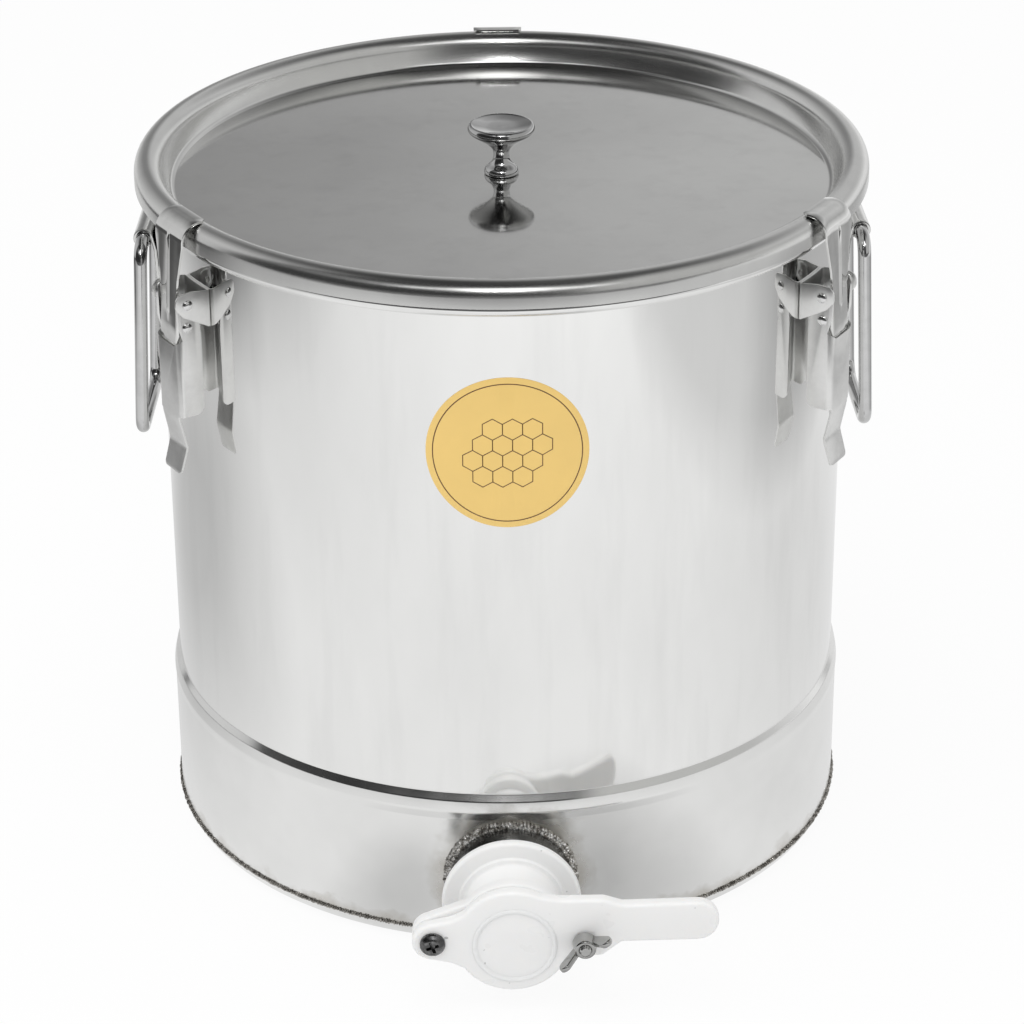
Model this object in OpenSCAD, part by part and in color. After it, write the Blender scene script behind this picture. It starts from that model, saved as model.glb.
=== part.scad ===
// Honey settling tank: a stainless tank with a clamped dish lid, two drop handles and a plastic honey gate.
// Millimetres, +Z up, the front (gate) faces -Y, the origin is on the tank's axis at floor level.

/* [Tank] */
// Outside radius of the upper wall
wall_r = 180; // [165:1:220]
// Height of the mouth bead's centre line above the floor
mouth_h = 359; // [330:1:420]
// Sheet thickness of the tank and the lid
sheet = 1; // [0.8:0.1:1.4]
// How far the lower band stands out beyond the upper wall
band_out = 3; // [2:0.5:4]
// Height of the top edge of the lower band's shoulder
band_h = 87; // [84:1:110]
// Height of the shoulder between the lower band and the upper wall
shoulder_h = 4; // [3:0.5:6]
// Outside radius of the rounded corner at the bottom
corner_r = 8; // [6:0.5:10]
// Diameter of the rolled bead at the mouth
bead_d = 8; // [7:0.5:8.5]
// Width of the weld run along the bottom seam
seam_w = 1.6; // [1:0.1:2.4]

/* [Lid] */
// Outside radius of the arched rim in section
arch_r = 7.2; // [6.9:0.1:7.6]
// Height of the rim's crest above the mouth bead's centre line
crest_rise = 15; // [14:0.5:17]
// Height of the rim's outer skirt below the crest
skirt_h = 12.6; // [11:0.2:13]
// Depth of the recessed plate below the crest
dish_depth = 16; // [14:0.5:19]
// How far the rim's inner wall leans in towards the plate
dish_lean = 1.8; // [1:0.2:2.6]
// Gap between the gasket and its neighbours
gasket_gap = 0.3; // [0.2:0.05:0.4]

/* [Knob] */
// Diameter of the knob's head
knob_d = 35; // [28:1:42]
// Height of the knob above the lid's plate
knob_h = 27; // [22:1:34]
// Diameter of the knob's neck
neck_d = 8.4; // [7.6:0.2:11]
// Diameter of the knob's foot
foot_d = 18; // [15:0.5:22]
// Diameter of the screw that holds the knob
knob_screw_d = 5; // [4:0.5:6]

/* [Latches] */
// Angle of each side latch from the front
latch_spread = 58; // [50:1:62]
// Outside width of the latch's base bracket
base_w = 26; // [25:0.5:30]
// Thickness of the latch's sheet parts
latch_t = 1.2; // [1:0.1:1.4]
// Distance of the fulcrum from the tank's wall
fulcrum_out = 13; // [12.5:0.5:15]
// Height of the fulcrum below the mouth bead's centre line
fulcrum_drop = 26; // [24:1:32]
// Distance between the fulcrum and the strap's pin
crank = 12.5; // [12:0.25:14]
// Length of the lever's channel below the fulcrum
channel_len = 61; // [54:1:70]
// Length of the finger tab below the channel
tab_len = 32; // [26:1:38]
// Width of the hook over the lid's rim
hook_w = 27; // [23:0.5:30]
// Height between the lid's crest and the hook's lip
hook_gap = 0.4; // [0.3:0.05:0.6]
// Diameter of the latch's rivets and pins
pin_d = 3.6; // [3:0.1:4]
// Radial clearance of the turning pins
pin_clear = 0.05; // [0.03:0.01:0.09]

/* [Handles] */
// Angle of each handle from the front
handle_spread = 92; // [88:1:100]
// Diameter of the handle's rod
rod_d = 7; // [5.5:0.5:8]
// Distance between the centre lines of the handle's legs
handle_w = 66; // [60:1:90]
// Distance from the hinge to the centre line of the grip
handle_drop = 105; // [80:1:130]
// Outward tilt of the hanging handle
handle_tilt = 2.5; // [2:0.5:8]
// Height of the handle's hinge below the mouth bead's centre line
hinge_drop = 30; // [26:1:40]

/* [Gate] */
// Height of the outlet's axis above the floor
outlet_h = 41; // [39:0.5:44]
// Diameter of the outlet's bore
outlet_d = 38; // [32:1:39]
// Outside diameter of the welded socket
socket_d = 62; // [58:1:64]
// Length of the welded socket beyond the wall
socket_len = 16; // [12:1:24]
// Diameter of the gate's flange
flange_d = 71; // [68:1:74]
// Diameter of the gate's neck
gate_neck_d = 48; // [47:0.5:50]
// Length of the gate's neck
gate_neck_len = 21; // [16:1:26]
// Thickness of the gate's face plate and of its leaf
leaf_t = 7; // [5:0.5:8]
// Diameter of the leaf's disc
leaf_d = 58; // [54:1:60]
// Distance of the pivot screw from the outlet's axis
pivot_x = 40; // [39:0.5:42]
// Distance of the locking stud from the outlet's axis
stud_x = 36; // [35:0.5:38]
// Reach of the leaf's handle from the outlet's axis
leaf_reach = 103; // [90:1:120]
// Diameter of the pivot screw and of the locking stud
stud_d = 6; // [5:0.5:6]

/* [Label] */
// Diameter of the round label
label_d = 80; // [60:1:90]
// Height of the label's centre below the mouth bead's centre line
label_drop = 77; // [60:1:120]
// Thickness of the label
label_t = 0.3; // [0.2:0.05:0.4]

/* [Hidden] */
$fn = 96;
// Facets of the large cuts that seat fittings on the wall
wall_facets = 360;
// Overrun of every cut beyond the face it opens
over = sheet;

band_r = wall_r + band_out;
bead_r = bead_d / 2;
bead_ring_r = wall_r - sheet + bead_r;

// Lid heights and radii
crest_h = mouth_h + crest_rise;
arch_h = crest_h - arch_r;
plate_h = crest_h - dish_depth;
plate_r = bead_ring_r - arch_r - dish_lean;
gasket_bottom_h = mouth_h + bead_r + gasket_gap;

// Label
label_h = mouth_h - label_drop;

// Latch places, seen in the plane of one latch: x is the distance from the tank's axis
fulcrum_x = wall_r + fulcrum_out;
fulcrum_h = mouth_h - fulcrum_drop;
strap_h = fulcrum_h - crank;
latch_gap = latch_t / 4;
lever_w = base_w - 2 * latch_t - 2 * latch_gap;
tail_t = latch_t * 2 / 3;
waist_w = lever_w - 2 * latch_t - 2 * tail_t - 4 * latch_gap;
knuckle_r = fulcrum_out * 0.42;
ear_r = knuckle_r + latch_t;
ear_up = ear_r * 0.75;
ear_down = fulcrum_out * 1.15;
rivet_head_r = pin_d * 0.97;
rivet_head_t = pin_d * 0.4;
channel_front = knuckle_r * 1.1;
channel_back = -fulcrum_out * 0.58;
plate_top = crank * 1.86;
strap_face = channel_front - latch_gap * 3;
strap_foot = crank * 0.7;
lug_r = crank * 0.36;

// Hook: the strap leans in to clear the skirt and bends over the crest
skirt_r = bead_ring_r + arch_r;
hook_stand_off = arch_r / 2;
hook_r = arch_r * 1.3;
lip_z = crest_h + hook_gap - strap_h;
bend_x = skirt_r + hook_stand_off - fulcrum_x;
bend_z = lip_z - hook_r;
lip_x = bend_x - hook_r * 2.05;
waist_top_z = bend_z * 0.62;
rib_r = latch_t * 1.6;

// Handle and bracket
rod_r = rod_d / 2;
bend_r = rod_d * 1.3;
barrel_r = rod_r + rod_d * 0.28;
hinge_x = wall_r + barrel_r + latch_t * 0.8;
hinge_h = mouth_h - hinge_drop;
barrel_len = handle_w - 2 * bend_r - rod_d;
bracket_h = barrel_r * 6;

// Gate depths, measured outwards from the tank's axis
socket_bore_d = outlet_d + 9;
socket_end = band_r + socket_len;
nipple_start = band_r + band_out;
seal_t = 2;
flange_start = socket_end + seal_t;
flange_t = leaf_t * 0.72;
neck_start = flange_start + flange_t;
face_start = neck_start + gate_neck_len;
face_end = face_start + leaf_t;
leaf_gap = 0.3;
leaf_start = face_end + leaf_gap;
leaf_end = leaf_start + leaf_t;
ring_t = leaf_t * 0.09;
front_start = leaf_end + ring_t + leaf_gap;
weld_t = seam_w * 2;

// Gate outline sizes
ear_share = 0.86;
pivot_ear_r = stud_d * 1.72;
stud_ear_r = stud_d * 1.5;
grip_r = leaf_d * 0.19;
grip_y = leaf_d * 0.184;
o_ring_r = outlet_d / 2 + 1.5;
o_ring_w = 2.5;
head_r = stud_d * 1.07;
head_t = stud_d * 0.62;
nut_r = stud_d * 0.96;
nut_t = stud_d * 0.8;
hub_r = stud_d * 1.08;
hub_t = stud_d * 1.25;
wing_reach = stud_d * 2.6;
wing_rise = stud_d * 1.1;
wing_t = stud_d * 0.5;
wing_turn = 35;

LATCHES = [["left", -90 - latch_spread], ["right", -90 + latch_spread], ["rear", 90]];
SIDES = [["left", -90 - handle_spread], ["right", -90 + handle_spread]];

// A solid disc of the tank's outside, used to seat fittings on the wall
module wall_core(r) {
    translate([0, 0, -over])
        cylinder(r = r, h = mouth_h + over, $fn = wall_facets);
}

// Turns the plane of a latch or handle to its place round the tank
module round_tank(angle) {
    rotate([0, 0, angle])
        children();
}

// A side view (distance from the axis, height) given a width along the wall
module side_plate(w) {
    rotate([90, 0, 0])
        linear_extrude(w, center = true)
            children();
}

// A front view (along the wall, height) given a depth from the axis outwards
module front_plate(start, depth) {
    translate([start, 0, 0])
        rotate([90, 0, 90])
            linear_extrude(depth)
                children();
}

// The gate's frame: x to the right, y up, z outwards from the tank's axis
module gate_frame() {
    translate([0, 0, outlet_h])
        rotate([90, 0, 0])
            children();
}

module gate_disc(d, start, end) {
    gate_frame()
        translate([0, 0, start])
            cylinder(d = d, h = end - start);
}

module gate_plate(start, t) {
    gate_frame()
        translate([0, 0, start])
            linear_extrude(t)
                children();
}

// Tank: the upper wall, the wired bead at its mouth and the wider band that it stands on
module tank_shell() {
    color("gainsboro")
    rotate_extrude()
        difference() {
            translate([wall_r - sheet, band_h])
                square([sheet, mouth_h - band_h]);
            translate([bead_ring_r, mouth_h])
                circle(bead_r);
        }
}

module mouth_bead() {
    color("gainsboro")
    rotate_extrude()
        translate([bead_ring_r, mouth_h])
            circle(bead_r);
}

module lower_band() {
    color("gainsboro")
    difference() {
        rotate_extrude() {
            translate([band_r - sheet, corner_r])
                square([sheet, band_h - shoulder_h - corner_r]);
            polygon([
                [band_r - sheet, band_h - shoulder_h],
                [band_r, band_h - shoulder_h],
                [wall_r, band_h],
                [wall_r - sheet, band_h]
            ]);
        }
        gate_disc(socket_bore_d, 0, band_r + over);
    }
}

module bottom_pan() {
    color("gainsboro")
    rotate_extrude() {
        square([band_r - corner_r, sheet]);
        intersection() {
            translate([band_r - corner_r, corner_r])
                difference() {
                    circle(corner_r);
                    circle(corner_r - sheet);
                }
            translate([band_r - corner_r, 0])
                square(corner_r);
        }
    }
}

// The seam's weld run stops on each side of the outlet
module bottom_weld() {
    stop = asin(socket_d / 2 / band_r);
    color("dimgray")
    rotate([0, 0, stop - 90])
        rotate_extrude(angle = 360 - 2 * stop)
            intersection() {
                translate([band_r, corner_r + seam_w / 2])
                    circle(seam_w / 2);
                translate([band_r, corner_r])
                    square(seam_w);
            }
}

module outlet_socket() {
    color("silver")
    difference() {
        gate_disc(socket_d, wall_r / 2, socket_end);
        wall_core(band_r);
        gate_disc(socket_bore_d, 0, socket_end + over);
    }
}

module outlet_weld() {
    color("dimgray")
    difference() {
        intersection() {
            gate_disc(socket_d + 2 * weld_t, wall_r / 2, socket_end);
            wall_core(band_r + weld_t);
        }
        wall_core(band_r);
        gate_disc(socket_d, 0, socket_end + over);
    }
}

module label_disc() {
    color("goldenrod")
    intersection() {
        difference() {
            wall_core(wall_r + label_t);
            wall_core(wall_r);
        }
        translate([0, 0, label_h])
            rotate([90, 0, 0])
                cylinder(d = label_d, h = wall_r + over);
    }
}

// Lid
module lid_pan() {
    color("lightgray")
    difference() {
        rotate_extrude() {
            translate([0, plate_h - sheet])
                square([plate_r + sheet / 2, sheet]);
            polygon([
                [plate_r, plate_h - sheet],
                [plate_r + sheet, plate_h - sheet],
                [bead_ring_r - arch_r + sheet, arch_h],
                [bead_ring_r - arch_r, arch_h],
                [plate_r, plate_h]
            ]);
            intersection() {
                translate([bead_ring_r, arch_h])
                    difference() {
                        circle(arch_r);
                        circle(arch_r - sheet);
                    }
                translate([bead_ring_r - arch_r, arch_h])
                    square([2 * arch_r, arch_r]);
            }
            translate([skirt_r - sheet, crest_h - skirt_h])
                square([sheet, skirt_h - arch_r]);
        }
        translate([0, 0, plate_h - sheet - over])
            cylinder(d = knob_screw_d, h = sheet + 2 * over);
    }
}

module lid_gasket() {
    color("whitesmoke")
    rotate_extrude()
        intersection() {
            translate([bead_ring_r, arch_h])
                circle(arch_r - sheet - gasket_gap / 2);
            translate([bead_ring_r - arch_r, gasket_bottom_h])
                square(2 * arch_r);
        }
}

// Knob profile: foot, waisted neck, cone and a flat-topped head with a round edge
module lid_knob() {
    foot_t = knob_h * 0.12;
    foot_edge = knob_h * 0.08;
    neck_low = knob_h * 0.26;
    neck_high = knob_h * 0.46;
    head_low = knob_h * 0.78;
    head_edge = (knob_h - head_low) / 2;
    color("silver")
    translate([0, 0, plate_h])
        difference() {
            rotate_extrude() {
                square([foot_d / 2, foot_t]);
                polygon([
                    [0, foot_t],
                    [foot_d / 2 - foot_edge, foot_t],
                    [neck_d / 2, neck_low],
                    [neck_d / 2, neck_high],
                    [knob_d / 2 - head_edge, head_low],
                    [0, head_low]
                ]);
                translate([0, head_low])
                    square([knob_d / 2 - head_edge, knob_h - head_low]);
                translate([knob_d / 2 - head_edge, (head_low + knob_h) / 2])
                    circle(head_edge);
            }
            translate([0, 0, -over])
                cylinder(d = knob_screw_d + 2 * pin_clear, h = neck_high + over);
        }
}

module knob_washer() {
    color("silver")
    translate([0, 0, plate_h - 2 * sheet])
        difference() {
            cylinder(d = knob_screw_d * 2.4, h = sheet);
            translate([0, 0, -over])
                cylinder(d = knob_screw_d * 1.06, h = sheet + 2 * over);
        }
}

module knob_screw() {
    head_h = knob_screw_d * 0.7;
    color("silver")
    translate([0, 0, plate_h - 2 * sheet]) {
        translate([0, 0, -head_h])
            cylinder(d = knob_screw_d * 1.9, h = head_h);
        cylinder(d = knob_screw_d - pin_clear, h = 2 * sheet + knob_h * 0.4);
    }
}

// Latch base: a back plate and two ears that carry the fulcrum rivets
module ear_outline() {
    translate([fulcrum_x, fulcrum_h])
        circle(ear_r);
    polygon([
        [wall_r - over, fulcrum_h + ear_up],
        [fulcrum_x, fulcrum_h + ear_r * ear_share],
        [fulcrum_x + ear_r * 0.6, fulcrum_h - ear_r * 0.6],
        [wall_r - over, fulcrum_h - ear_down]
    ]);
}

module latch_base(angle) {
    color("silver")
    round_tank(angle)
        difference() {
            union() {
                side_plate(base_w)
                    translate([wall_r - over, fulcrum_h - ear_down])
                        square([over + latch_t, ear_down + ear_up]);
                for (s = [-1, 1])
                    translate([0, s * (base_w - latch_t) / 2, 0])
                        side_plate(latch_t)
                            ear_outline();
            }
            wall_core(wall_r);
            side_plate(base_w + 2 * over)
                translate([fulcrum_x, fulcrum_h])
                    circle(d = pin_d);
        }
}

// Two short rivets, one through each ear, so that the strap can pass between them
module fulcrum_rivets(angle) {
    reach = lever_w / 2 - latch_t - tail_t - latch_gap / 2;
    color("silver")
    round_tank(angle)
        for (s = [-1, 1])
            translate([fulcrum_x, s * reach, fulcrum_h])
                rotate([-s * 90, 0, 0]) {
                    cylinder(d = pin_d * 1.5, h = tail_t);
                    cylinder(d = pin_d, h = base_w / 2 - reach);
                    translate([0, 0, base_w / 2 - reach])
                        cylinder(r = rivet_head_r, h = rivet_head_t);
                }
}

// Lever: a channel that turns on the fulcrum, ending in a cranked finger tab
module channel_outline() {
    cut = latch_t * 3;
    circle(knuckle_r);
    polygon([
        [-knuckle_r * 0.9, 0],
        [channel_back, -crank * 1.4],
        [channel_back, -channel_len + cut],
        [channel_back + cut, -channel_len],
        [channel_front, -channel_len],
        [channel_front, -crank],
        [knuckle_r * 0.9, 0]
    ]);
}

module tab_outline() {
    waist_x = channel_front - tab_len * 0.12;
    waist_z = -channel_len - tab_len * 0.38;
    tip_x = channel_front + tab_len * 0.1;
    tip_z = -channel_len - tab_len;
    polygon([
        [channel_front, -channel_len + latch_t],
        [channel_front, -channel_len],
        [waist_x, waist_z],
        [tip_x, tip_z],
        [tip_x - latch_t * 1.1, tip_z],
        [waist_x - latch_t * 1.1, waist_z],
        [channel_front - latch_t, -channel_len],
        [channel_front - latch_t, -channel_len + latch_t]
    ]);
}

module tab_front() {
    polygon([for (p = [
        [lever_w * 0.48, latch_t],
        [lever_w * 0.33, -tab_len * 0.3],
        [lever_w * 0.33, -tab_len - over],
        [-lever_w * 0.33, -tab_len - over],
        [-lever_w * 0.33, -tab_len * 0.3],
        [-lever_w * 0.48, latch_t]
    ]) [p[0], p[1] - channel_len]]);
}

module latch_lever(angle) {
    color("gainsboro")
    round_tank(angle)
        translate([fulcrum_x, 0, fulcrum_h])
            difference() {
                union() {
                    for (s = [-1, 1])
                        translate([0, s * (lever_w - latch_t) / 2, 0])
                            side_plate(latch_t)
                                channel_outline();
                    side_plate(lever_w - latch_t)
                        translate([channel_front - latch_t, -channel_len])
                            square([latch_t, channel_len - plate_top]);
                    intersection() {
                        side_plate(lever_w)
                            tab_outline();
                        front_plate(-tab_len, 2 * tab_len)
                            tab_front();
                    }
                }
                side_plate(lever_w + 2 * over)
                    circle(d = pin_d + 2 * pin_clear);
                side_plate(lever_w + 2 * over)
                    translate([0, -crank])
                        circle(d = pin_d);
            }
}

module strap_pin(angle) {
    color("silver")
    round_tank(angle)
        translate([fulcrum_x, 0, strap_h]) {
            side_plate(lever_w)
                circle(d = pin_d);
            for (s = [-1, 1])
                translate([0, s * (lever_w + rivet_head_t) / 2, 0])
                    side_plate(rivet_head_t)
                        circle(rivet_head_r);
        }
}

// Strap: a plate that leans in, bends over the lid's crest and lies along it as a lip
module strap_outline() {
    bend_out = bend_x + latch_t;
    polygon([
        [strap_face - latch_t, -strap_foot],
        [strap_face, -strap_foot],
        [bend_out, bend_z],
        [bend_x, bend_z]
    ]);
    intersection() {
        translate([bend_x - hook_r, bend_z])
            difference() {
                circle(hook_r + latch_t);
                circle(hook_r);
            }
        translate([bend_x - hook_r, bend_z])
            square(hook_r + latch_t);
    }
    translate([lip_x, lip_z])
        square([bend_x - hook_r - lip_x, latch_t]);
}

module strap_front() {
    top = lip_z + latch_t + over;
    polygon([
        [-waist_w / 2, -strap_foot - over],
        [waist_w / 2, -strap_foot - over],
        [waist_w / 2, waist_top_z],
        [hook_w / 2, bend_z],
        [hook_w / 2, top],
        [-hook_w / 2, top],
        [-hook_w / 2, bend_z],
        [-waist_w / 2, waist_top_z]
    ]);
}

module lug_outline() {
    circle(lug_r);
    polygon([
        [0, -lug_r * ear_share],
        [strap_face - latch_t, -strap_foot],
        [strap_face - latch_t / 2, -strap_foot],
        [strap_face - latch_t / 2, crank],
        [strap_face - latch_t, crank],
        [0, lug_r * ear_share]
    ]);
}

// A pressed rib along the middle of the strap's face
module strap_rib() {
    lean = atan2(bend_x + latch_t - strap_face, bend_z + strap_foot);
    run = (bend_z + strap_foot) / cos(lean);
    from = run * 0.42;
    length = run * 0.55;
    translate([strap_face - rib_r / 2, 0, -strap_foot])
        rotate([0, lean, 0])
            translate([0, 0, from]) {
                cylinder(r = rib_r, h = length);
                sphere(rib_r);
                translate([0, 0, length])
                    sphere(rib_r);
            }
}

module latch_strap(angle) {
    color("silver")
    round_tank(angle)
        translate([fulcrum_x, 0, strap_h])
            difference() {
                union() {
                    intersection() {
                        side_plate(hook_w + over)
                            strap_outline();
                        front_plate(-wall_r / 2, wall_r)
                            strap_front();
                    }
                    for (s = [-1, 1])
                        translate([0, s * (waist_w - latch_t) / 2, 0])
                            side_plate(latch_t)
                                lug_outline();
                    strap_rib();
                }
                side_plate(hook_w)
                    circle(d = pin_d + 2 * pin_clear);
            }
}

// Handle bracket: a plate on the wall with a barrel for the handle's top bar
module handle_bracket(angle) {
    color("silver")
    round_tank(angle)
        difference() {
            union() {
                side_plate(barrel_len)
                    translate([wall_r - 2 * over, hinge_h - bracket_h + barrel_r])
                        square([2 * over + latch_t, bracket_h]);
                side_plate(barrel_len)
                    translate([hinge_x, hinge_h])
                        circle(barrel_r);
                side_plate(barrel_len)
                    translate([wall_r, hinge_h + barrel_r - latch_t])
                        square([barrel_r, latch_t]);
            }
            wall_core(wall_r);
            side_plate(barrel_len + 2 * over)
                translate([hinge_x, hinge_h])
                    circle(rod_r + pin_clear);
        }
}

// Handle: a closed loop of rod, drawn hanging down from its top bar and tilted outwards
module handle(angle) {
    bar_len = handle_w - 2 * bend_r;
    leg_len = handle_drop - 2 * bend_r;
    color("silver")
    round_tank(angle)
        translate([hinge_x, 0, hinge_h])
            rotate([0, -handle_tilt, 0]) {
                for (z = [0, -handle_drop])
                    translate([0, 0, z])
                        rotate([90, 0, 0])
                            cylinder(r = rod_r, h = bar_len, center = true);
                for (s = [-1, 1]) {
                    translate([0, s * handle_w / 2, -bend_r - leg_len])
                        cylinder(r = rod_r, h = leg_len);
                    for (top = [0, 1])
                        translate([0, s * bar_len / 2, top ? -bend_r : bend_r - handle_drop])
                            rotate([90, 0, 90])
                                rotate([0, 0, s > 0 ? (top ? 0 : -90) : (top ? 90 : 180)])
                                    rotate_extrude(angle = 90)
                                        translate([bend_r, 0])
                                            circle(rod_r);
                }
            }
}

// Gate body: a threaded nipple, a flange, a neck and a face plate with two ears
module face_outline() {
    circle(d = leaf_d);
    for (e = [[-pivot_x, pivot_ear_r], [stud_x, stud_ear_r]]) {
        translate([e[0], 0])
            circle(e[1]);
        polygon([
            [0, leaf_d * 0.42],
            [e[0], e[1] * ear_share],
            [e[0], -e[1] * ear_share],
            [0, -leaf_d * 0.42]
        ]);
    }
}

module gate_body() {
    color("white")
    difference() {
        union() {
            gate_disc(socket_bore_d - 4 * pin_clear, nipple_start, flange_start);
            gate_disc(flange_d, flange_start, neck_start);
            gate_disc(gate_neck_d, neck_start, face_start);
            gate_plate(face_start, leaf_t)
                face_outline();
        }
        gate_disc(outlet_d, 0, face_end + over);
        gate_frame()
            translate([0, 0, face_end - o_ring_w])
                linear_extrude(o_ring_w + over)
                    difference() {
                        circle(o_ring_r + o_ring_w);
                        circle(o_ring_r);
                    }
        gate_plate(face_start - over, leaf_t + 2 * over)
            for (x = [-pivot_x, stud_x])
                translate([x, 0])
                    circle(d = stud_d);
    }
}

module gate_seal() {
    color("dimgray")
    gate_plate(socket_end, seal_t)
        difference() {
            circle(d = socket_d);
            circle(d = socket_bore_d);
        }
}

module leaf_seal() {
    color("dimgray")
    gate_plate(face_end - o_ring_w, o_ring_w)
        difference() {
            circle(o_ring_r + o_ring_w);
            circle(o_ring_r);
        }
}

// Leaf: ear, disc, shoulder and handle, with a slot that drops over the locking stud
module leaf_outline() {
    shoulder_y = leaf_d * 0.415;
    shoulder_x = stud_x + stud_d * 1.6;
    grip_x = shoulder_x + stud_d * 1.5;
    grip_end = leaf_reach - grip_r;
    hook_y = -stud_d * 1.45;
    circle(d = leaf_d);
    translate([-pivot_x, 0])
        circle(pivot_ear_r);
    polygon([
        [-pivot_x, pivot_ear_r * ear_share],
        [-leaf_d * 0.2, leaf_d * 0.4],
        [-leaf_d * 0.2, -leaf_d * 0.4],
        [-pivot_x, -pivot_ear_r * ear_share]
    ]);
    polygon([
        [leaf_d * 0.1, leaf_d * 0.45],
        [leaf_d * 0.4, shoulder_y],
        [shoulder_x, shoulder_y],
        [grip_x, grip_y + grip_r * 0.95],
        [grip_end, grip_y + grip_r],
        [grip_end, grip_y - grip_r],
        [grip_x, grip_y - grip_r * 1.05],
        [shoulder_x - stud_d * 0.2, hook_y],
        [leaf_d * 0.4, hook_y * 1.15],
        [leaf_d * 0.1, -leaf_d * 0.4]
    ]);
    translate([grip_end, grip_y])
        circle(grip_r);
}

module stud_slot() {
    arm = pivot_x + stud_x;
    slot_r = stud_d / 2 + leaf_gap;
    translate([stud_x, 0])
        circle(slot_r);
    intersection() {
        translate([-pivot_x, 0])
            difference() {
                circle(arm + slot_r);
                circle(arm - slot_r);
            }
        translate([0, -leaf_d])
            square([leaf_d, leaf_d]);
    }
}

module gate_leaf() {
    ring_r = leaf_d * 0.375;
    color("white") {
        gate_plate(leaf_start, leaf_t)
            difference() {
                leaf_outline();
                stud_slot();
                translate([-pivot_x, 0])
                    circle(d = stud_d + 2 * pin_clear);
            }
        gate_plate(leaf_end, ring_t)
            difference() {
                circle(ring_r);
                circle(ring_r - 2 * ring_t);
            }
    }
}

// Pivot screw: a pan head with a cross recess
module pivot_screw() {
    start = face_start - nut_t;
    head_start = leaf_end + leaf_gap;
    recess_w = stud_d * 0.24;
    recess_l = stud_d * 1.1;
    color("dimgray")
    gate_frame()
        translate([-pivot_x, 0, 0])
            difference() {
                union() {
                    translate([0, 0, start])
                        cylinder(d = stud_d, h = head_start - start);
                    translate([0, 0, head_start])
                        cylinder(r = head_r, h = head_t);
                }
                translate([0, 0, head_start + head_t / 3])
                    linear_extrude(head_t)
                        for (a = [0, 90])
                            rotate(a + 20)
                                square([recess_l, recess_w], center = true);
            }
}

module pivot_nut() {
    color("silver")
    gate_frame()
        translate([-pivot_x, 0, face_start - nut_t])
            difference() {
                cylinder(r = nut_r, h = nut_t, $fn = 6);
                translate([0, 0, -over])
                    cylinder(d = stud_d + 2 * pin_clear, h = nut_t + 2 * over);
            }
}

module lock_stud() {
    end = front_start + hub_t + stud_d * 0.9;
    color("silver")
    gate_frame()
        translate([stud_x, 0, face_start - head_t]) {
            cylinder(r = head_r, h = head_t);
            cylinder(d = stud_d, h = end - face_start + head_t);
        }
}

// Wing nut: a tapered hub with two rising wings
module wing_outline() {
    tip_r = stud_d * 0.55;
    tip = [wing_reach - tip_r, hub_t + wing_rise - tip_r];
    polygon([
        [hub_r / 2, stud_d * 0.15],
        [hub_r * 0.95, stud_d * 0.15],
        [tip[0] + tip_r * 0.8, tip[1] - tip_r * 0.6],
        [tip[0] - tip_r * 0.7, tip[1] + tip_r * 0.7],
        [hub_r / 2, hub_t * 0.9]
    ]);
    translate(tip)
        circle(tip_r);
}

module wing_nut() {
    color("silver")
    gate_frame()
        translate([stud_x, 0, front_start])
            rotate([0, 0, wing_turn])
                difference() {
                    union() {
                        cylinder(r1 = hub_r, r2 = hub_r * 0.8, h = hub_t);
                        for (a = [0, 180])
                            rotate([0, 0, a])
                                side_plate(wing_t)
                                    wing_outline();
                    }
                    translate([0, 0, -over])
                        cylinder(d = stud_d + 2 * pin_clear, h = hub_t + wing_rise + 2 * over);
                }
}

tank_shell();
mouth_bead();
lower_band();
bottom_pan();
bottom_weld();
outlet_socket();
outlet_weld();
label_disc();
lid_pan();
lid_gasket();
lid_knob();
knob_washer();
knob_screw();
for (l = LATCHES) {
    latch_base(l[1]);
    fulcrum_rivets(l[1]);
    latch_lever(l[1]);
    strap_pin(l[1]);
    latch_strap(l[1]);
}
for (s = SIDES) {
    handle_bracket(s[1]);
    handle(s[1]);
}
gate_body();
gate_seal();
leaf_seal();
gate_leaf();
pivot_screw();
pivot_nut();
lock_stud();
wing_nut();
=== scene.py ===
import math

import bmesh
import bpy
from bpy.props import FloatProperty, FloatVectorProperty, IntProperty, PointerProperty
from bpy.types import Operator, Panel, PropertyGroup
from mathutils import Matrix, Vector


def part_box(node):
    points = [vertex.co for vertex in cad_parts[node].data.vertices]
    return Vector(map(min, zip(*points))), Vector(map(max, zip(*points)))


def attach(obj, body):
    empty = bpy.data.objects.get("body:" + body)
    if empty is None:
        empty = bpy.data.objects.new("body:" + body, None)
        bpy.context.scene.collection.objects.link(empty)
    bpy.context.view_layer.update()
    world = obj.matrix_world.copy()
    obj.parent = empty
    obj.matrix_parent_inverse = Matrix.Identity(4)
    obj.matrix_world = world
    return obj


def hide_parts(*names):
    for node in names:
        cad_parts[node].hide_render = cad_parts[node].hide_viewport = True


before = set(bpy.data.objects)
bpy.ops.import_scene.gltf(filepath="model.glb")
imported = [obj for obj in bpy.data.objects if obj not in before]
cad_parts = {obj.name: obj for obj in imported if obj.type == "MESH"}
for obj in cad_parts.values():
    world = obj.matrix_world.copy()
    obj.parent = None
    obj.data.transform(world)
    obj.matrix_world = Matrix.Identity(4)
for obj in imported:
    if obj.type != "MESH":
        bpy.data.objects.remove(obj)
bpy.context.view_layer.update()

bl_info = {
    "name": "Honey settling tank",
    "version": (1, 0, 0),
    "blender": (4, 5, 0),
    "location": "View3D > Sidebar > Honey tank",
    "description": "Dresses the solids of a stainless honey settling tank",
    "category": "Object",
}

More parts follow.
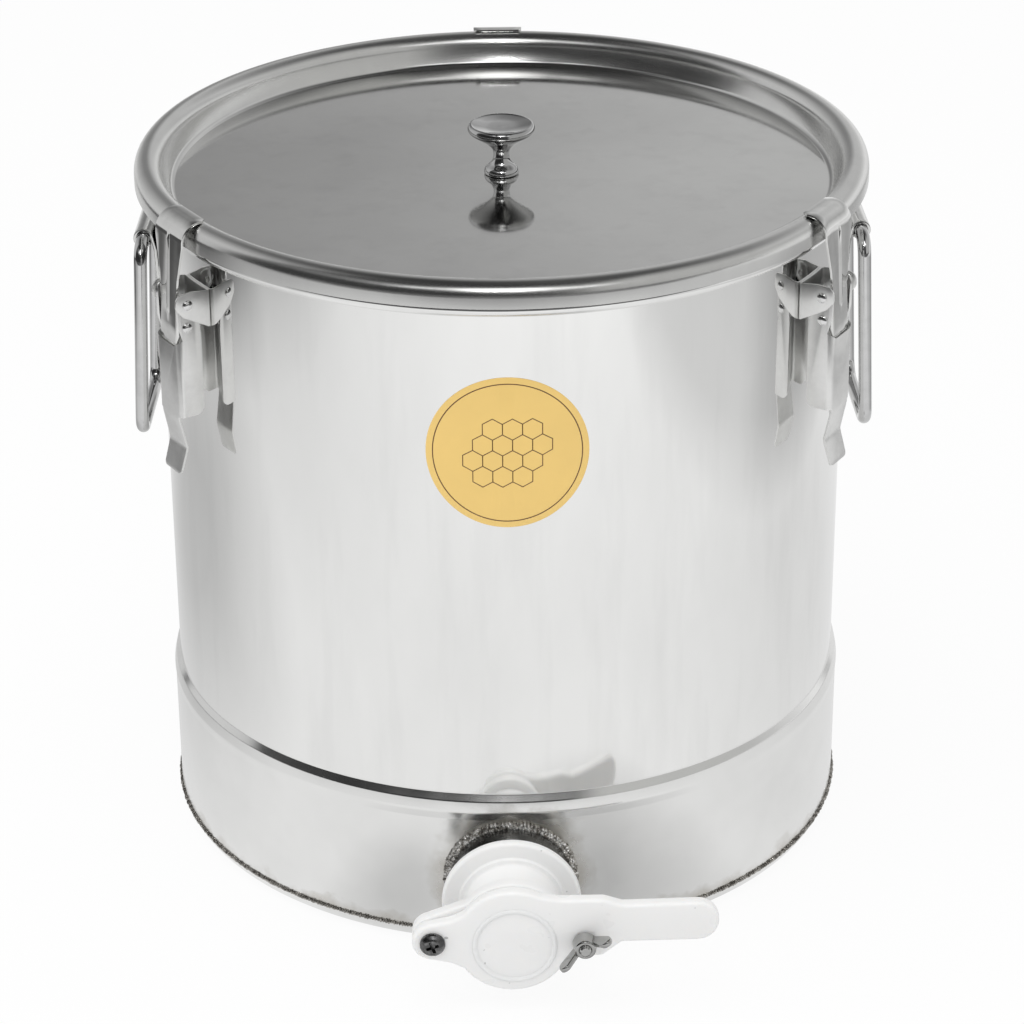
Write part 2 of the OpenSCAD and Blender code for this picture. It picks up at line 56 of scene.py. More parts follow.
MM = 0.001
TOUCHING = 1e-6
ON_PLANE = 1e-7
PRINT_T = 0.02 * MM
STRIP_EDGE = 0.25 * MM
WHITE = (1, 1, 1, 1)
LATCHES = {"left": -148.0, "right": -32.0, "rear": 90.0}
HANDLES = {"left": -182.0, "right": 2.0}
MADE = {}


def low(solid):
    """Lowest corner of a solid."""
    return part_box(solid)[0]


def high(solid):
    """Highest corner of a solid."""
    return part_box(solid)[1]


def middle(solid):
    """Centre of a solid's box."""
    return (low(solid) + high(solid)) / 2


def span(solid):
    """Size of a solid's box."""
    return high(solid) - low(solid)


def length(name, default, description):
    """A size in metres that shows as a length."""
    return FloatProperty(name=name, description=description, default=default, min=0.0, unit="LENGTH", precision=4)


def angle(name, degrees, description):
    """An angle, given in degrees."""
    return FloatProperty(name=name, description=description, default=math.radians(degrees), subtype="ANGLE")


def power(name, default, description):
    """A lamp's power in watts."""
    return FloatProperty(name=name, description=description, default=default, min=0.0, subtype="POWER")


def colour(name, default, description):
    """A finish's own colour."""
    return FloatVectorProperty(name=name, description=description, default=(*default, 1), min=0.0, max=1.0,
                               size=4, subtype="COLOR")


class ShellSizes(PropertyGroup):
    """Upper wall, lower band and bottom."""
    wall_r: length("Wall radius", high("tank_shell").x, "Outside radius of the upper wall")
    sheet: length("Sheet", 1.0 * MM, "Thickness of the tank's and the lid's sheet")
    mouth: length("Mouth height", high("mouth_bead").z - 4.0 * MM, "Height of the bead's centre line")
    bead_r: length("Bead radius", 4.0 * MM, "Radius of the rolled bead in section")
    band_r: length("Band radius", high("lower_band").x, "Outside radius of the lower band")
    band_h: length("Band height", high("lower_band").z, "Height of the shoulder's edge")
    shoulder: length("Shoulder", 3.5 * MM, "Rise of the shoulder's roll above its edge")
    corner_r: length("Corner radius", low("lower_band").z, "Radius of the rounded bottom corner")
    seam_r: length("Seam ripple", 1.3 * MM, "Radius of one ripple of the bottom weld")
    weld_r: length("Outlet ripple", 2.3 * MM, "Radius of one ripple of the outlet's weld")
    segments: IntProperty(name="Segments", description="Facets round the tank", default=288, min=48, max=512)


class LidSizes(PropertyGroup):
    """Dish lid and knob."""
    plate_h: length("Plate height", low("lid_knob").z, "Height of the recessed plate")
    crest_h: length("Crest height", high("lid_pan").z, "Height of the rim's crest")
    skirt_r: length("Skirt radius", high("lid_pan").x, "Outside radius of the rim's skirt")
    arch_r: length("Arch radius", 7.2 * MM, "Outside radius of the rim's arch in section")
    skirt_low: length("Skirt's lower edge", 361.4 * MM, "Height of the skirt's lower edge")
    plate_r: length("Plate radius", 171.5 * MM, "Radius of the flat plate")
    knob_r: length("Knob radius", high("lid_knob").x, "Radius of the knob's head")
    knob_h: length("Knob height", span("lid_knob").z, "Height of the knob")


class LatchSizes(PropertyGroup):
    """Toggle latches, seen in the plane of one latch."""
    fulcrum_r: length("Fulcrum radius", middle("fulcrum_rivets_rear").y, "Fulcrum's distance from the tank's axis")
    fulcrum_h: length("Fulcrum height", middle("fulcrum_rivets_rear").z, "Height of the fulcrum")
    crank: length("Crank", middle("fulcrum_rivets_rear").z - middle("strap_pin_rear").z,
                  "Distance between the fulcrum and the strap's pin")
    strip: length("Strip", 1.2 * MM, "Thickness of the pressed strip")
    base_w: length("Base width", span("latch_base_rear").x, "Outside width of the base")
    lever_w: length("Lever width", span("latch_lever_rear").x, "Outside width of the lever")
    waist_w: length("Waist", 17.8 * MM, "Width of the strap between the lever's cheeks")
    hook_w: length("Hook width", span("latch_strap_rear").x, "Width of the strap's hook")
    head_r: length("Rivet head radius", 2.7 * MM, "Radius of a rivet's domed head")
    head_t: length("Rivet head height", 1.44 * MM, "Height of a rivet's domed head")
    pin_r: length("Pin radius", 1.8 * MM, "Radius of the rivets' and pins' shanks")


class HandleSizes(PropertyGroup):
    """Drop handles and their brackets."""
    hinge_r: length("Hinge radius", 186.42 * MM, "Distance of the hinge from the tank's axis")
    hinge_h: length("Hinge height", high("handle_left").z - 3.5 * MM, "Height of the hinge")
    rod_r: length("Rod radius", 3.5 * MM, "Radius of the rod")
    width: length("Width", 66.0 * MM, "Distance between the centre lines of the legs")
    drop: length("Drop", span("handle_left").z - 7.0 * MM, "Distance from the hinge to the grip")
    bend_r: length("Bend radius", 9.1 * MM, "Radius of the bends on the centre line")
    tilt: angle("Tilt", 2.5, "Outward tilt of the hanging handle")
    bracket_w: length("Bracket width", 40.8 * MM, "Width of the curled bracket")
    bracket_t: length("Bracket sheet", 1.5 * MM, "Thickness of the curled bracket")


class GateSizes(PropertyGroup):
    """Plastic gate, in its own frame: x to the right, y up, z outwards from the tank's axis."""
    axis_h: length("Axis height", middle("outlet_socket").z, "Height of the outlet's axis")
    bore_r: length("Bore radius", 19.0 * MM, "Radius of the outlet's bore")
    socket_r: length("Socket radius", span("outlet_socket").x / 2, "Outside radius of the welded socket")
    socket_t: length("Socket wall", 7.5 * MM, "Wall thickness of the welded socket")
    socket_end: length("Socket end", -low("outlet_socket").y, "Distance of the socket's end from the tank's axis")
    flange_r: length("Flange radius", 35.5 * MM, "Radius of the flange")
    neck_r: length("Neck radius", 24.0 * MM, "Radius of the neck")
    face_z: length("Face plate", -high("gate_leaf").y - 7.3 * MM, "Distance of the face plate's back")
    leaf_z: length("Leaf", -high("gate_leaf").y, "Distance of the leaf's back")
    leaf_t: length("Leaf thickness", 7.0 * MM, "Thickness of the leaf and of the face plate")
    leaf_r: length("Leaf radius", middle("outlet_socket").z - low("gate_leaf").z, "Radius of the leaf's disc")
    reach: length("Reach", high("gate_leaf").x, "Reach of the leaf's handle from the outlet's axis")
    pivot_x: length("Pivot distance", -middle("pivot_nut").x, "Distance of the pivot screw from the outlet's axis")
    stud_x: length("Stud distance", middle("lock_stud").x, "Distance of the locking stud from the outlet's axis")
    stud_r: length("Stud radius", 3.0 * MM, "Radius of the locking stud")
    stud_end: length("Stud end", -low("lock_stud").y, "Distance of the stud's end")
    head_r: length("Head radius", 6.42 * MM, "Radius of the screw's and the stud's heads")
    head_t: length("Head height", 3.72 * MM, "Height of the screw's and the stud's heads")
    nut_z: length("Wing nut", -high("wing_nut").y, "Distance of the wing nut's seat")
    soft_edge: length("Soft edge", 1.9 * MM, "Rounding of the moulded edges")


class LabelSizes(PropertyGroup):
    """Round label with a plain comb of cells."""
    radius: length("Radius", 40.0 * MM, "Radius of the label")
    height: length("Height", middle("label_disc").z, "Height of the label's centre")
    foil: length("Foil", 0.3 * MM, "Thickness of the foil")
    ring_r: length("Ring radius", 36.6 * MM, "Radius of the printed ring")
    line: length("Line", 0.55 * MM, "Width of a printed line")
    cell_r: length("Cell radius", 5.6 * MM, "Radius of one comb cell")


class Finishes(PropertyGroup):
    """Colours of the finishes."""
    sheet: colour("Sheet", (0.88, 0.88, 0.87), "Rolled steel of the tank")
    lid: colour("Lid", (0.74, 0.74, 0.73), "Polished steel of the lid")
    chrome: colour("Chrome", (0.78, 0.78, 0.78), "Chromed knob, rods and rivets")
    strip: colour("Strip", (0.74, 0.74, 0.73), "Pressed strip of the latches")
    turned: colour("Turned steel", (0.55, 0.55, 0.54), "Socket, nuts and stud")
    weld: colour("Weld", (0.42, 0.40, 0.37), "Weld metal")
    crown: colour("Weld crowns", (0.9, 0.89, 0.87), "Bright grains of the outlet's weld")
    seam: colour("Seam crowns", (0.5, 0.48, 0.45), "Bright grains of the bottom weld")
    scale: colour("Weld scale", (0.10, 0.09, 0.08), "Dark scale in the welds' hollows")
    heat: colour("Heat tint", (0.60, 0.58, 0.54), "Sheet beside the welds")
    plastic: colour("Plastic", (0.90, 0.90, 0.895), "Moulded plastic of the gate")
    gold: colour("Gold", (0.94, 0.65, 0.21), "Foil of the label")
    ink: colour("Ink", (0.16, 0.075, 0.03), "Printed lines of the label")
    screw: colour("Screw", (0.10, 0.10, 0.10), "Blackened pivot screw")
    rubber: colour("Rubber", (0.03, 0.03, 0.03), "Seals of the gate")
    silicone: colour("Silicone", (0.78, 0.78, 0.74), "Gasket of the lid")
    floor: colour("Floor", (0.90, 0.90, 0.90), "Floor of the studio")
    window: colour("Window", (0.55, 0.55, 0.54), "Pale field to the right, as metal shows it")


class StageSizes(PropertyGroup):
    """Camera, lamps and floor."""
    aim_x: length("Aim to the right", 4.1 * MM, "How far to the right of the axis the camera looks")
    aim_h: length("Aim height", 160.6 * MM, "Height of the point that the camera looks at")
    distance: length("Distance", 1.852, "Distance of the camera from that point")
    elevation: angle("Elevation", 26.46, "Camera's angle above level")
    turn: angle("Turn", -0.7, "Camera's angle round the tank, from straight in front")
    roll: angle("Roll", -0.41, "Camera's turn about its own axis")
    lens: FloatProperty(name="Lens", description="Focal length on a 36 mm sensor", default=119.1, unit="CAMERA")
    floor: length("Floor", 15.0, "Half the side of the floor")
    ambient: FloatProperty(name="Ambient", description="Light of the surroundings on matt surfaces", default=0.72,
                           min=0.0, max=1.0, subtype="FACTOR")
    key: power("Key lamp", 18.0, "Power of the large lamp overhead")
    fill: power("Front lamps", 0.3, "Power of each small lamp in front")


class HoneyTank(PropertyGroup):
    """All the sizes and colours."""
    shell: PointerProperty(type=ShellSizes)
    lid: PointerProperty(type=LidSizes)
    latch: PointerProperty(type=LatchSizes)
    handle: PointerProperty(type=HandleSizes)
    gate: PointerProperty(type=GateSizes)
    label: PointerProperty(type=LabelSizes)
    finish: PointerProperty(type=Finishes)
    stage: PointerProperty(type=StageSizes)


# Lines and outlines

def mm(*values):
    """Lengths that are given in millimetres."""
    return [value * MM for value in values]


def mm_points(*points, origin=(0, 0)):
    """Points that are given in millimetres from an origin."""
    return [Vector(origin) + Vector(p) * MM for p in points]


def evenly(start, end, steps):
    """Evenly spaced values from start to end."""
    return [start + (end - start) * k / steps for k in range(steps + 1)]


def turned_by(degrees, axis="Z"):
    """A turn about an axis."""
    return Matrix.Rotation(math.radians(degrees), 4, axis)


def chord(radius, x):
    """Depth of a round wall at a distance from its middle."""
    return math.sqrt(radius * radius - x * x)


def arc(centre, radius, start, end, steps=12):
    """Points of an arc; angles in degrees."""
    turns = [math.radians(a) for a in evenly(start, end, steps)]
    return [Vector((centre[0] + radius * math.cos(a), centre[1] + radius * math.sin(a))) for a in turns]


def flipped(line):
    """The mirror image of a line, run backwards."""
    return [Vector((-p[0], p[1])) for p in reversed(line)]


def round_corners(points, radius, closed=True, steps=6):
    """The same line with its corners rounded; radius is one number or one for each point."""
    points = [Vector(p) for p in points]
    radii = radius if hasattr(radius, "__len__") else [radius] * len(points)
    nearly_straight, most = math.radians(89.0), 0.49
    line = []
    for i, (p, r) in enumerate(zip(points, radii)):
        before, after = points[i - 1] - p, points[(i + 1) % len(points)] - p
        a, b = before.normalized(), after.normalized()
        half = math.acos(max(-1.0, min(1.0, a.dot(b)))) / 2
        if r <= 0 or half > nearly_straight or (not closed and i in (0, len(points) - 1)):
            line.append(p)
            continue
        cut = min(r / math.tan(half), most * before.length, most * after.length)
        centre = p + (a + b).normalized() * (cut / math.cos(half))
        start, end = p + a * cut - centre, p + b * cut - centre
        sweep = -start.angle_signed(end)
        line += [centre + start @ Matrix.Rotation(-sweep * k / steps, 2) for k in range(steps + 1)]
    return line


def smooth_line(points, steps=8):
    """A smooth line through the points."""
    points = [Vector(p) for p in points]
    ends = [2 * points[0] - points[1]] + points + [2 * points[-1] - points[-2]]
    line = []
    for p0, p1, p2, p3 in zip(ends, ends[1:], ends[2:], ends[3:]):
        for t in (k / steps for k in range(steps)):
            line.append(0.5 * (2 * p1 + (p2 - p0) * t + (2 * p0 - 5 * p1 + 4 * p2 - p3) * t * t
                               + (3 * p1 - p0 - 3 * p2 + p3) * t ** 3))
    return line + [points[-1]]


def line_normals(line):
    """Unit normals of an open line, to the left of its direction."""
    ways = [after - before for before, after in zip(line[:1] + line[:-1], line[1:] + line[-1:])]
    return [Vector((-way.y, way.x)).normalized() for way in ways]


def thicken(line, thickness):
    """Closed outline of a sheet whose middle follows an open line."""
    normals = line_normals(line)
    left = [p + n * thickness / 2 for p, n in zip(line, normals)]
    right = [p - n * thickness / 2 for p, n in zip(line, normals)]
    return left + right[::-1]


def offset_at(line, level):
    """How far a falling line stands out at a level."""
    least_fall = 1e-9
    for a, b in zip(line, line[1:]):
        if b.y <= level <= a.y:
            return a.x + (b.x - a.x) * (a.y - level) / max(least_fall, a.y - b.y)
    return line[-1].x


def fold_at(u, start, bend):
    """Depth and sideways place of a point of a sheet that folds back on both sides, past a start."""
    over, turn = abs(u) - start, bend * math.pi / 2
    if over <= 0:
        return 0.0, u
    a = min(over, turn) / bend
    return bend * (1 - math.cos(a)) + max(0.0, over - turn), math.copysign(start + bend * math.sin(a), u)


class Path:
    """An open line that can be asked for a point and its normal at a distance along it."""

    def __init__(self, points):
        self.points = [Vector(p) for p in points]
        self.normals = line_normals(self.points)
        self.marks = [0.0]
        for a, b in zip(self.points, self.points[1:]):
            self.marks.append(self.marks[-1] + (b - a).length)
        self.length = self.marks[-1]

    def at(self, distance):
        """Point and normal at a distance along the line."""
        d = max(0.0, min(self.length, distance))
        i = 0
        while i < len(self.marks) - 2 and self.marks[i + 1] < d:
            i += 1
        t = (d - self.marks[i]) / (self.marks[i + 1] - self.marks[i])
        return self.points[i].lerp(self.points[i + 1], t), self.normals[i].lerp(self.normals[i + 1], t).normalized()


# Meshes

def turned(outline, segments=96):
    """A turned form: a closed outline of radius and height carried round Z."""
    form = bmesh.new()
    turns = [2 * math.pi * k / segments for k in range(segments)]
    rings = []
    for radius, height in outline:
        spots = [(0, 0, height)] if radius < ON_PLANE else [
            (radius * math.cos(a), radius * math.sin(a), height) for a in turns]
        rings.append([form.verts.new(spot) for spot in spots])
    for a, b in zip(rings, rings[1:] + rings[:1]):
        for k in range(segments):
            corners = [a[k % len(a)], a[(k + 1) % len(a)], b[(k + 1) % len(b)], b[k % len(b)]]
            corners = list(dict.fromkeys(corners))
            if len(corners) > 2:
                form.faces.new(corners)
    bmesh.ops.recalc_face_normals(form, faces=form.faces)
    return form


def as_object(form, name):
    """The form as an object; the form is used up."""
    mesh = bpy.data.meshes.new(name)
    form.to_mesh(mesh)
    form.free()
    made = bpy.data.objects.new(name, mesh)
    bpy.context.scene.collection.objects.link(made)
    return made


def discard(helper):
    """Removes a helper object and its data."""
    data = helper.data
    bpy.data.objects.remove(helper)
    (bpy.data.curves if isinstance(data, bpy.types.Curve) else bpy.data.meshes).remove(data)


def from_object(helper):
    """A helper object's finished mesh, as a form; the helper is removed."""
    bpy.context.view_layer.update()
    mesh = bpy.data.meshes.new_from_object(helper.evaluated_get(bpy.context.evaluated_depsgraph_get()))
    form = bmesh.new()
    form.from_mesh(mesh)
    discard(helper)
    bpy.data.meshes.remove(mesh)
    return form


def from_curve(lines, closed, **settings):
    """The form of a curve through lines of points, with the curve's settings."""
    curve = bpy.data.curves.new("line", "CURVE")
    for key, value in settings.items():
        setattr(curve, key, value)
    for line in lines:
        spline = curve.splines.new("POLY")
        spline.points.add(len(line) - 1)
        for point, p in zip(spline.points, line):
            point.co = (*Vector(p).to_3d(), 1)
        spline.use_cyclic_u = closed
    helper = bpy.data.objects.new("line", curve)
    bpy.context.scene.collection.objects.link(helper)
    form = from_object(helper)
    bmesh.ops.remove_doubles(form, verts=form.verts, dist=TOUCHING)
    bmesh.ops.recalc_face_normals(form, faces=form.faces)
    return form


def slab(outlines, bottom, top, edge=0.0, steps=4):
    """A flat moulded or stamped form with rounded edges: an outline and its holes, from bottom to top along Z."""
    form = from_curve(outlines, True, dimensions="2D", fill_mode="BOTH", bevel_depth=edge, bevel_resolution=steps,
                      offset=-edge, extrude=(top - bottom) / 2 - edge)
    form.transform(Matrix.Translation((0, 0, (bottom + top) / 2)))
    return form


def bent_rod(points, radius, closed=True):
    """A round rod along a line of points in space."""
    return from_curve([points], closed, dimensions="3D", bevel_depth=radius, bevel_resolution=7,
                      use_fill_caps=not closed)


def with_modifiers(form, *steps):
    """The form after modifiers; each step is a modifier's type and its settings."""
    helper = as_object(form, "helper")
    for kind, settings in steps:
        modifier = helper.modifiers.new(kind.title(), kind)
        for key, value in settings.items():
            setattr(modifier, key, value)
    return from_object(helper)


def cut_line(form, axis, at):
    """Cuts a form's faces along a plane across an axis."""
    spot, normal = [0.0] * 3, [0.0] * 3
    spot[axis], normal[axis] = at, 1.0
    geometry = form.verts[:] + form.edges[:] + form.faces[:]
    bmesh.ops.bisect_plane(form, geom=geometry, dist=ON_PLANE, plane_co=spot, plane_no=normal)


def folded(outline, across, along, place, thickness):
    """A pressed sheet: a flat outline, cut along its bend lines, put in its place and given its thickness."""
    form = bmesh.new()
    form.faces.new([form.verts.new((p[0], p[1], 0)) for p in outline])
    for axis, cuts in enumerate((across, along)):
        for at in cuts:
            cut_line(form, axis, at)
    bmesh.ops.recalc_face_normals(form, faces=form.faces)
    for vert in form.verts:
        vert.co = place(vert.co.x, vert.co.y)
    form.normal_update()
    return with_modifiers(
        form,
        ("SOLIDIFY", {"thickness": thickness, "offset": 0.0, "use_even_offset": True, "use_quality_normals": True}),
        ("BEVEL", {"width": STRIP_EDGE, "segments": 2, "limit_method": "ANGLE",
                   "angle_limit": math.radians(40.0), "use_clamp_overlap": True}))


def cut_out(form, tool):
    """The form with the tool's shape taken out of it."""
    cutter = as_object(tool, "tool")
    result = with_modifiers(form, ("BOOLEAN", {"object": cutter, "operation": "DIFFERENCE", "solver": "EXACT"}))
    discard(cutter)
    return result


def joined(first, *forms):
    """One form of several."""
    for form in forms:
        helper = as_object(form, "part")
        first.from_mesh(helper.data)
        discard(helper)
    return first


def add_piece(name, form, body, slot, stands_for=None, place=None, finish=None, sharp=35.0):
    """Makes a form one of the object's pieces, on its body and in the stead of its solid."""
    if place is not None:
        form.transform(place)
    piece = as_object(form, name)
    for polygon in piece.data.polygons:
        polygon.use_smooth = True
    piece.data.set_sharp_from_angle(angle=math.radians(sharp))
    piece.data.materials.append(finish_of(finish or slot))
    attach(piece, body)
    if stands_for:
        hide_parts(stands_for)


def dress(finish, *solids):
    """Gives solids that stay in view their finish."""
    for solid in solids:
        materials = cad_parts[solid].data.materials
        materials.clear()
        materials.append(finish_of(finish))


def gate_frame(gate):
    """Puts the gate's own frame in its place: x to the right, y up, z outwards."""
    return Matrix.Translation((0, 0, gate.axis_h)) @ turned_by(90, "X")


# Geometry node trees

def new_tree(name, **sockets):
    """A geometry node tree with a geometry input and output, and named inputs; gives back both end nodes too."""
    tree = bpy.data.node_groups.new(name, "GeometryNodeTree")
    tree.interface.new_socket("Geometry", in_out="OUTPUT", socket_type="NodeSocketGeometry")
    tree.interface.new_socket("Geometry", in_out="INPUT", socket_type="NodeSocketGeometry")
    for title, kind in {**sockets, "Finish": "Material"}.items():
        tree.interface.new_socket(title, in_out="INPUT", socket_type="NodeSocket" + kind)
    return tree, tree.nodes.new("NodeGroupInput").outputs, tree.nodes.new("NodeGroupOutput")


def node(tree, kind, inputs=(), **settings):
    """Adds a node; inputs are values or the outputs that feed them."""
    made = tree.nodes.new(kind)
    for key, value in settings.items():
        setattr(made, key, value)
    for key, value in dict(inputs).items():
        if isinstance(value, bpy.types.NodeSocket):
            tree.links.new(value, made.inputs[key])
        else:
            made.inputs[key].default_value = value
    return made


def end_tree(tree, given, output, **instances):
    """Ends a tree in instances on points, as plain mesh with its finish."""
    placed = node(tree, "GeometryNodeInstanceOnPoints", instances)
    real = node(tree, "GeometryNodeRealizeInstances", {"Geometry": placed.outputs[0]})
    painted = node(tree, "GeometryNodeSetMaterial", {"Geometry": real.outputs[0], "Material": given["Finish"]})
    tree.links.new(painted.outputs[0], output.inputs[0])
    return tree


def heads_tree():
    """Domed heads on points, each turned to the direction stored with its point."""
    tree, given, output = new_tree("domed_heads", Head="Object")
    head = node(tree, "GeometryNodeObjectInfo", {"Object": given["Head"]})
    aim = node(tree, "GeometryNodeInputNamedAttribute", {"Name": "aim"}, data_type="FLOAT_VECTOR")
    turn = node(tree, "FunctionNodeAlignRotationToVector", {"Vector": aim.outputs[0]}, axis="Z")
    return end_tree(tree, given, output, Points=given["Geometry"], Instance=head.outputs["Geometry"],
                    Rotation=turn.outputs[0])


def ripples_tree():
    """Overlapping ripples of a weld run along a line."""
    smallest, largest = (0.45, 0.75, 0.75), (0.8, 1.15, 1.15)
    tree, given, output = new_tree("weld_ripples", Ripple="Float", Step="Float", Seed="Int")
    line = node(tree, "GeometryNodeMeshToCurve", {"Mesh": given["Geometry"]})
    spaced = node(tree, "GeometryNodeResampleCurve", {"Curve": line.outputs[0], "Length": given["Step"]},
                  mode="LENGTH")
    drop = node(tree, "GeometryNodeMeshIcoSphere", {"Radius": given["Ripple"], "Subdivisions": 2})
    tangent = node(tree, "GeometryNodeInputTangent")
    turn = node(tree, "FunctionNodeAlignRotationToVector", {"Vector": tangent.outputs[0]}, axis="X")
    size = node(tree, "FunctionNodeRandomValue", {"Seed": given["Seed"], 0: smallest, 1: largest},
                data_type="FLOAT_VECTOR")
    return end_tree(tree, given, output, Points=spaced.outputs[0], Instance=drop.outputs[0],
                    Rotation=turn.outputs[0], Scale=size.outputs[0])


def comb_tree():
    """Open hexagons on points, as flat printed lines."""
    tree, given, output = new_tree("comb_cells", Cell="Float", Line="Float")
    cell = node(tree, "GeometryNodeCurvePrimitiveCircle", {"Resolution": 6, "Radius": given["Cell"]})
    pen = node(tree, "GeometryNodeCurvePrimitiveQuadrilateral", {"Width": given["Line"], "Height": PRINT_T})
    drawn = node(tree, "GeometryNodeCurveToMesh", {"Curve": cell.outputs[0], "Profile Curve": pen.outputs[0]})
    return end_tree(tree, given, output, Points=given["Geometry"], Instance=drawn.outputs[0])


def grown(tree, points, edges, values, aims=()):
    """The form that a tree grows from points; values are set by the inputs' names."""
    mesh = bpy.data.meshes.new("seeds")
    mesh.from_pydata([tuple(p) for p in points], edges, [])
    if aims:
        attribute = mesh.attributes.new("aim", "FLOAT_VECTOR", "POINT")
        for item, aim in zip(attribute.data, aims):
            item.vector = aim
    helper = bpy.data.objects.new("seeds", mesh)
    modifier = helper.modifiers.new("Grow", "NODES")
    modifier.node_group = tree
    for item in tree.interface.items_tree:
        if item.in_out == "INPUT" and item.name in values:
            modifier[item.identifier] = values[item.name]
    bpy.context.scene.collection.objects.link(helper)
    return from_object(helper)


# Finishes

def new_finish(name, metallic, roughness):
    """A material, its tree, its shader's inputs and its object coordinates."""
    material = bpy.data.materials.new(name)
    material.use_nodes = True
    tree = material.node_tree
    inputs = tree.nodes["Principled BSDF"].inputs
    inputs["Metallic"].default_value = metallic
    inputs["Roughness"].default_value = roughness
    return material, tree, inputs, node(tree, "ShaderNodeTexCoord").outputs["Object"]


def grain(tree, place, scale, detail=3.0, stretch=(1, 1, 1), roughness=0.55):
    """Noise at so many bumps per metre, stretched along the axes."""
    laid = node(tree, "ShaderNodeMapping", {"Vector": place, "Scale": stretch})
    return node(tree, "ShaderNodeTexNoise", {"Vector": laid.outputs[0], "Scale": scale, "Detail": detail,
                                             "Roughness": roughness}).outputs[0]


def ranged(tree, value, start, end, from_min=0.3, from_max=0.7):
    """The value laid on a new range."""
    return node(tree, "ShaderNodeMapRange", {
        "Value": value, "From Min": from_min, "From Max": from_max, "To Min": start, "To Max": end}).outputs[0]


def shades(tree, value, stops):
    """Colours along a value; stops are places and colours."""
    ramp = node(tree, "ShaderNodeValToRGB", {"Fac": value})
    while len(ramp.color_ramp.elements) < len(stops):
        ramp.color_ramp.elements.new(1.0)
    for element, (spot, tone) in zip(ramp.color_ramp.elements, stops):
        element.position = spot
        element.color = tone
    return ramp.outputs[0]


def greys(tree, value, *stops):
    """Greys along a value; stops are places and levels."""
    return shades(tree, value, [(spot, (level, level, level, 1)) for spot, level in stops])


def maths(tree, operation, *values):
    """A sum of values or outputs."""
    return node(tree, "ShaderNodeMath", dict(enumerate(values)), operation=operation).outputs[0]


def blended(tree, factor, under, over, kind="MIX"):
    """One colour laid over another."""
    return node(tree, "ShaderNodeMix", {0: factor, 6: under, 7: over}, data_type="RGBA",
                blend_type=kind).outputs[2]


def away_from(tree, place, spot):
    """Distance from a spot."""
    return node(tree, "ShaderNodeVectorMath", {0: place, 1: spot}, operation="DISTANCE").outputs["Value"]


def scaled(tone, factor):
    """The colour, lighter or darker."""
    return (tone[0] * factor, tone[1] * factor, tone[2] * factor, 1)


def coat(tree, inputs, tone, rough, *layers):
    """Gives a shader its colour, a roughness that varies and layers of relief, each a height and its depth."""
    tree.links.new(tone, inputs["Base Color"])
    if rough is not None:
        tree.links.new(rough, inputs["Roughness"])
    below = {}
    for height, depth in layers:
        bump = node(tree, "ShaderNodeBump", {"Height": height, "Distance": depth, "Strength": 1.0, **below})
        below = {"Normal": bump.outputs[0]}
    tree.links.new(below["Normal"], inputs["Normal"])


def rolled_steel(name, tone, gloss, haze, sway, lines=(1, 1, 6), rim=None):
    """Bright rolled sheet: haze, fine rolling marks and a slow sway in what it mirrors, duller past a rim."""
    material, tree, inputs, place = new_finish(name, 1.0, gloss)
    cloud = grain(tree, place, 16.0, 4.0, (1, 1, 0.45))
    runs = ranged(tree, grain(tree, place, 60.0, 3.0, (1, 1, 0.12)), 0.95, 1.0, 0.25, 0.5)
    marks = grain(tree, place, 500.0, 2.0, lines)
    slow = grain(tree, place, 5.0, 1.0, (1, 1, 0.6))
    clean = shades(tree, cloud, [(0.3, scaled(tone, 0.94)), (0.62, tone)])
    rough = ranged(tree, cloud, gloss, gloss + haze)
    if rim is not None:
        flat = node(tree, "ShaderNodeVectorMath", {0: place, 1: (1, 1, 0)}, operation="MULTIPLY").outputs[0]
        drawn = ranged(tree, away_from(tree, flat, (0, 0, 0)), 0.0, 0.16, rim, rim + 1.5 * MM)
        rough = maths(tree, "ADD", rough, drawn)
    coat(tree, inputs, blended(tree, 1.0, clean, runs, "MULTIPLY"), rough, (slow, sway), (marks, 0.0006 * MM))
    return material


def banded_steel(name, tone, gloss, haze, heat_tint, outlet, socket_r, seam):
    """The lower band's sheet, with heat tints near the bottom weld and round the outlet."""
    material, tree, inputs, place = new_finish(name, 1.0, gloss)
    cloud = grain(tree, place, 22.0, 5.0)
    marks = grain(tree, place, 700.0, 2.0, (1, 1, 6))
    slow = grain(tree, place, 7.0, 1.0)
    height = node(tree, "ShaderNodeSeparateXYZ", {"Vector": place}).outputs["Z"]
    wander = ranged(tree, grain(tree, place, 60.0, 4.0), -5 * MM, 5 * MM)
    near_seam = ranged(tree, maths(tree, "ADD", height, wander), 0.8, 0.0, seam, seam + 8 * MM)
    ragged = maths(tree, "ADD", away_from(tree, place, outlet), wander)
    near_outlet = ranged(tree, ragged, 1.0, 0.0, socket_r + 2 * MM, socket_r + 14 * MM)
    heat = maths(tree, "MAXIMUM", near_seam, near_outlet)
    heat.node.use_clamp = True
    clean = shades(tree, cloud, [(0.3, scaled(tone, 0.93)), (0.62, tone)])
    rough = maths(tree, "MULTIPLY_ADD", heat, 0.16, ranged(tree, cloud, gloss, gloss + haze))
    coat(tree, inputs, blended(tree, heat, clean, heat_tint), rough, (slow, 0.25 * MM), (marks, 0.002 * MM))
    return material


def worn(name, metallic, roughness, wear, stops, rough=None, depth=0.0, fine=None):
    """A finish whose wear sets its colour and can set its gloss; its relief is that wear, a finer grain or both."""
    material, tree, inputs, place = new_finish(name, metallic, roughness)
    wear = grain(tree, place, *wear)
    layers = [(wear, depth)] if depth else []
    if fine:
        layers.append((grain(tree, place, *fine[:2]), fine[2]))
    varied = ranged(tree, wear, *rough) if rough else None
    coat(tree, inputs, shades(tree, wear, stops), varied, *layers)
    return material


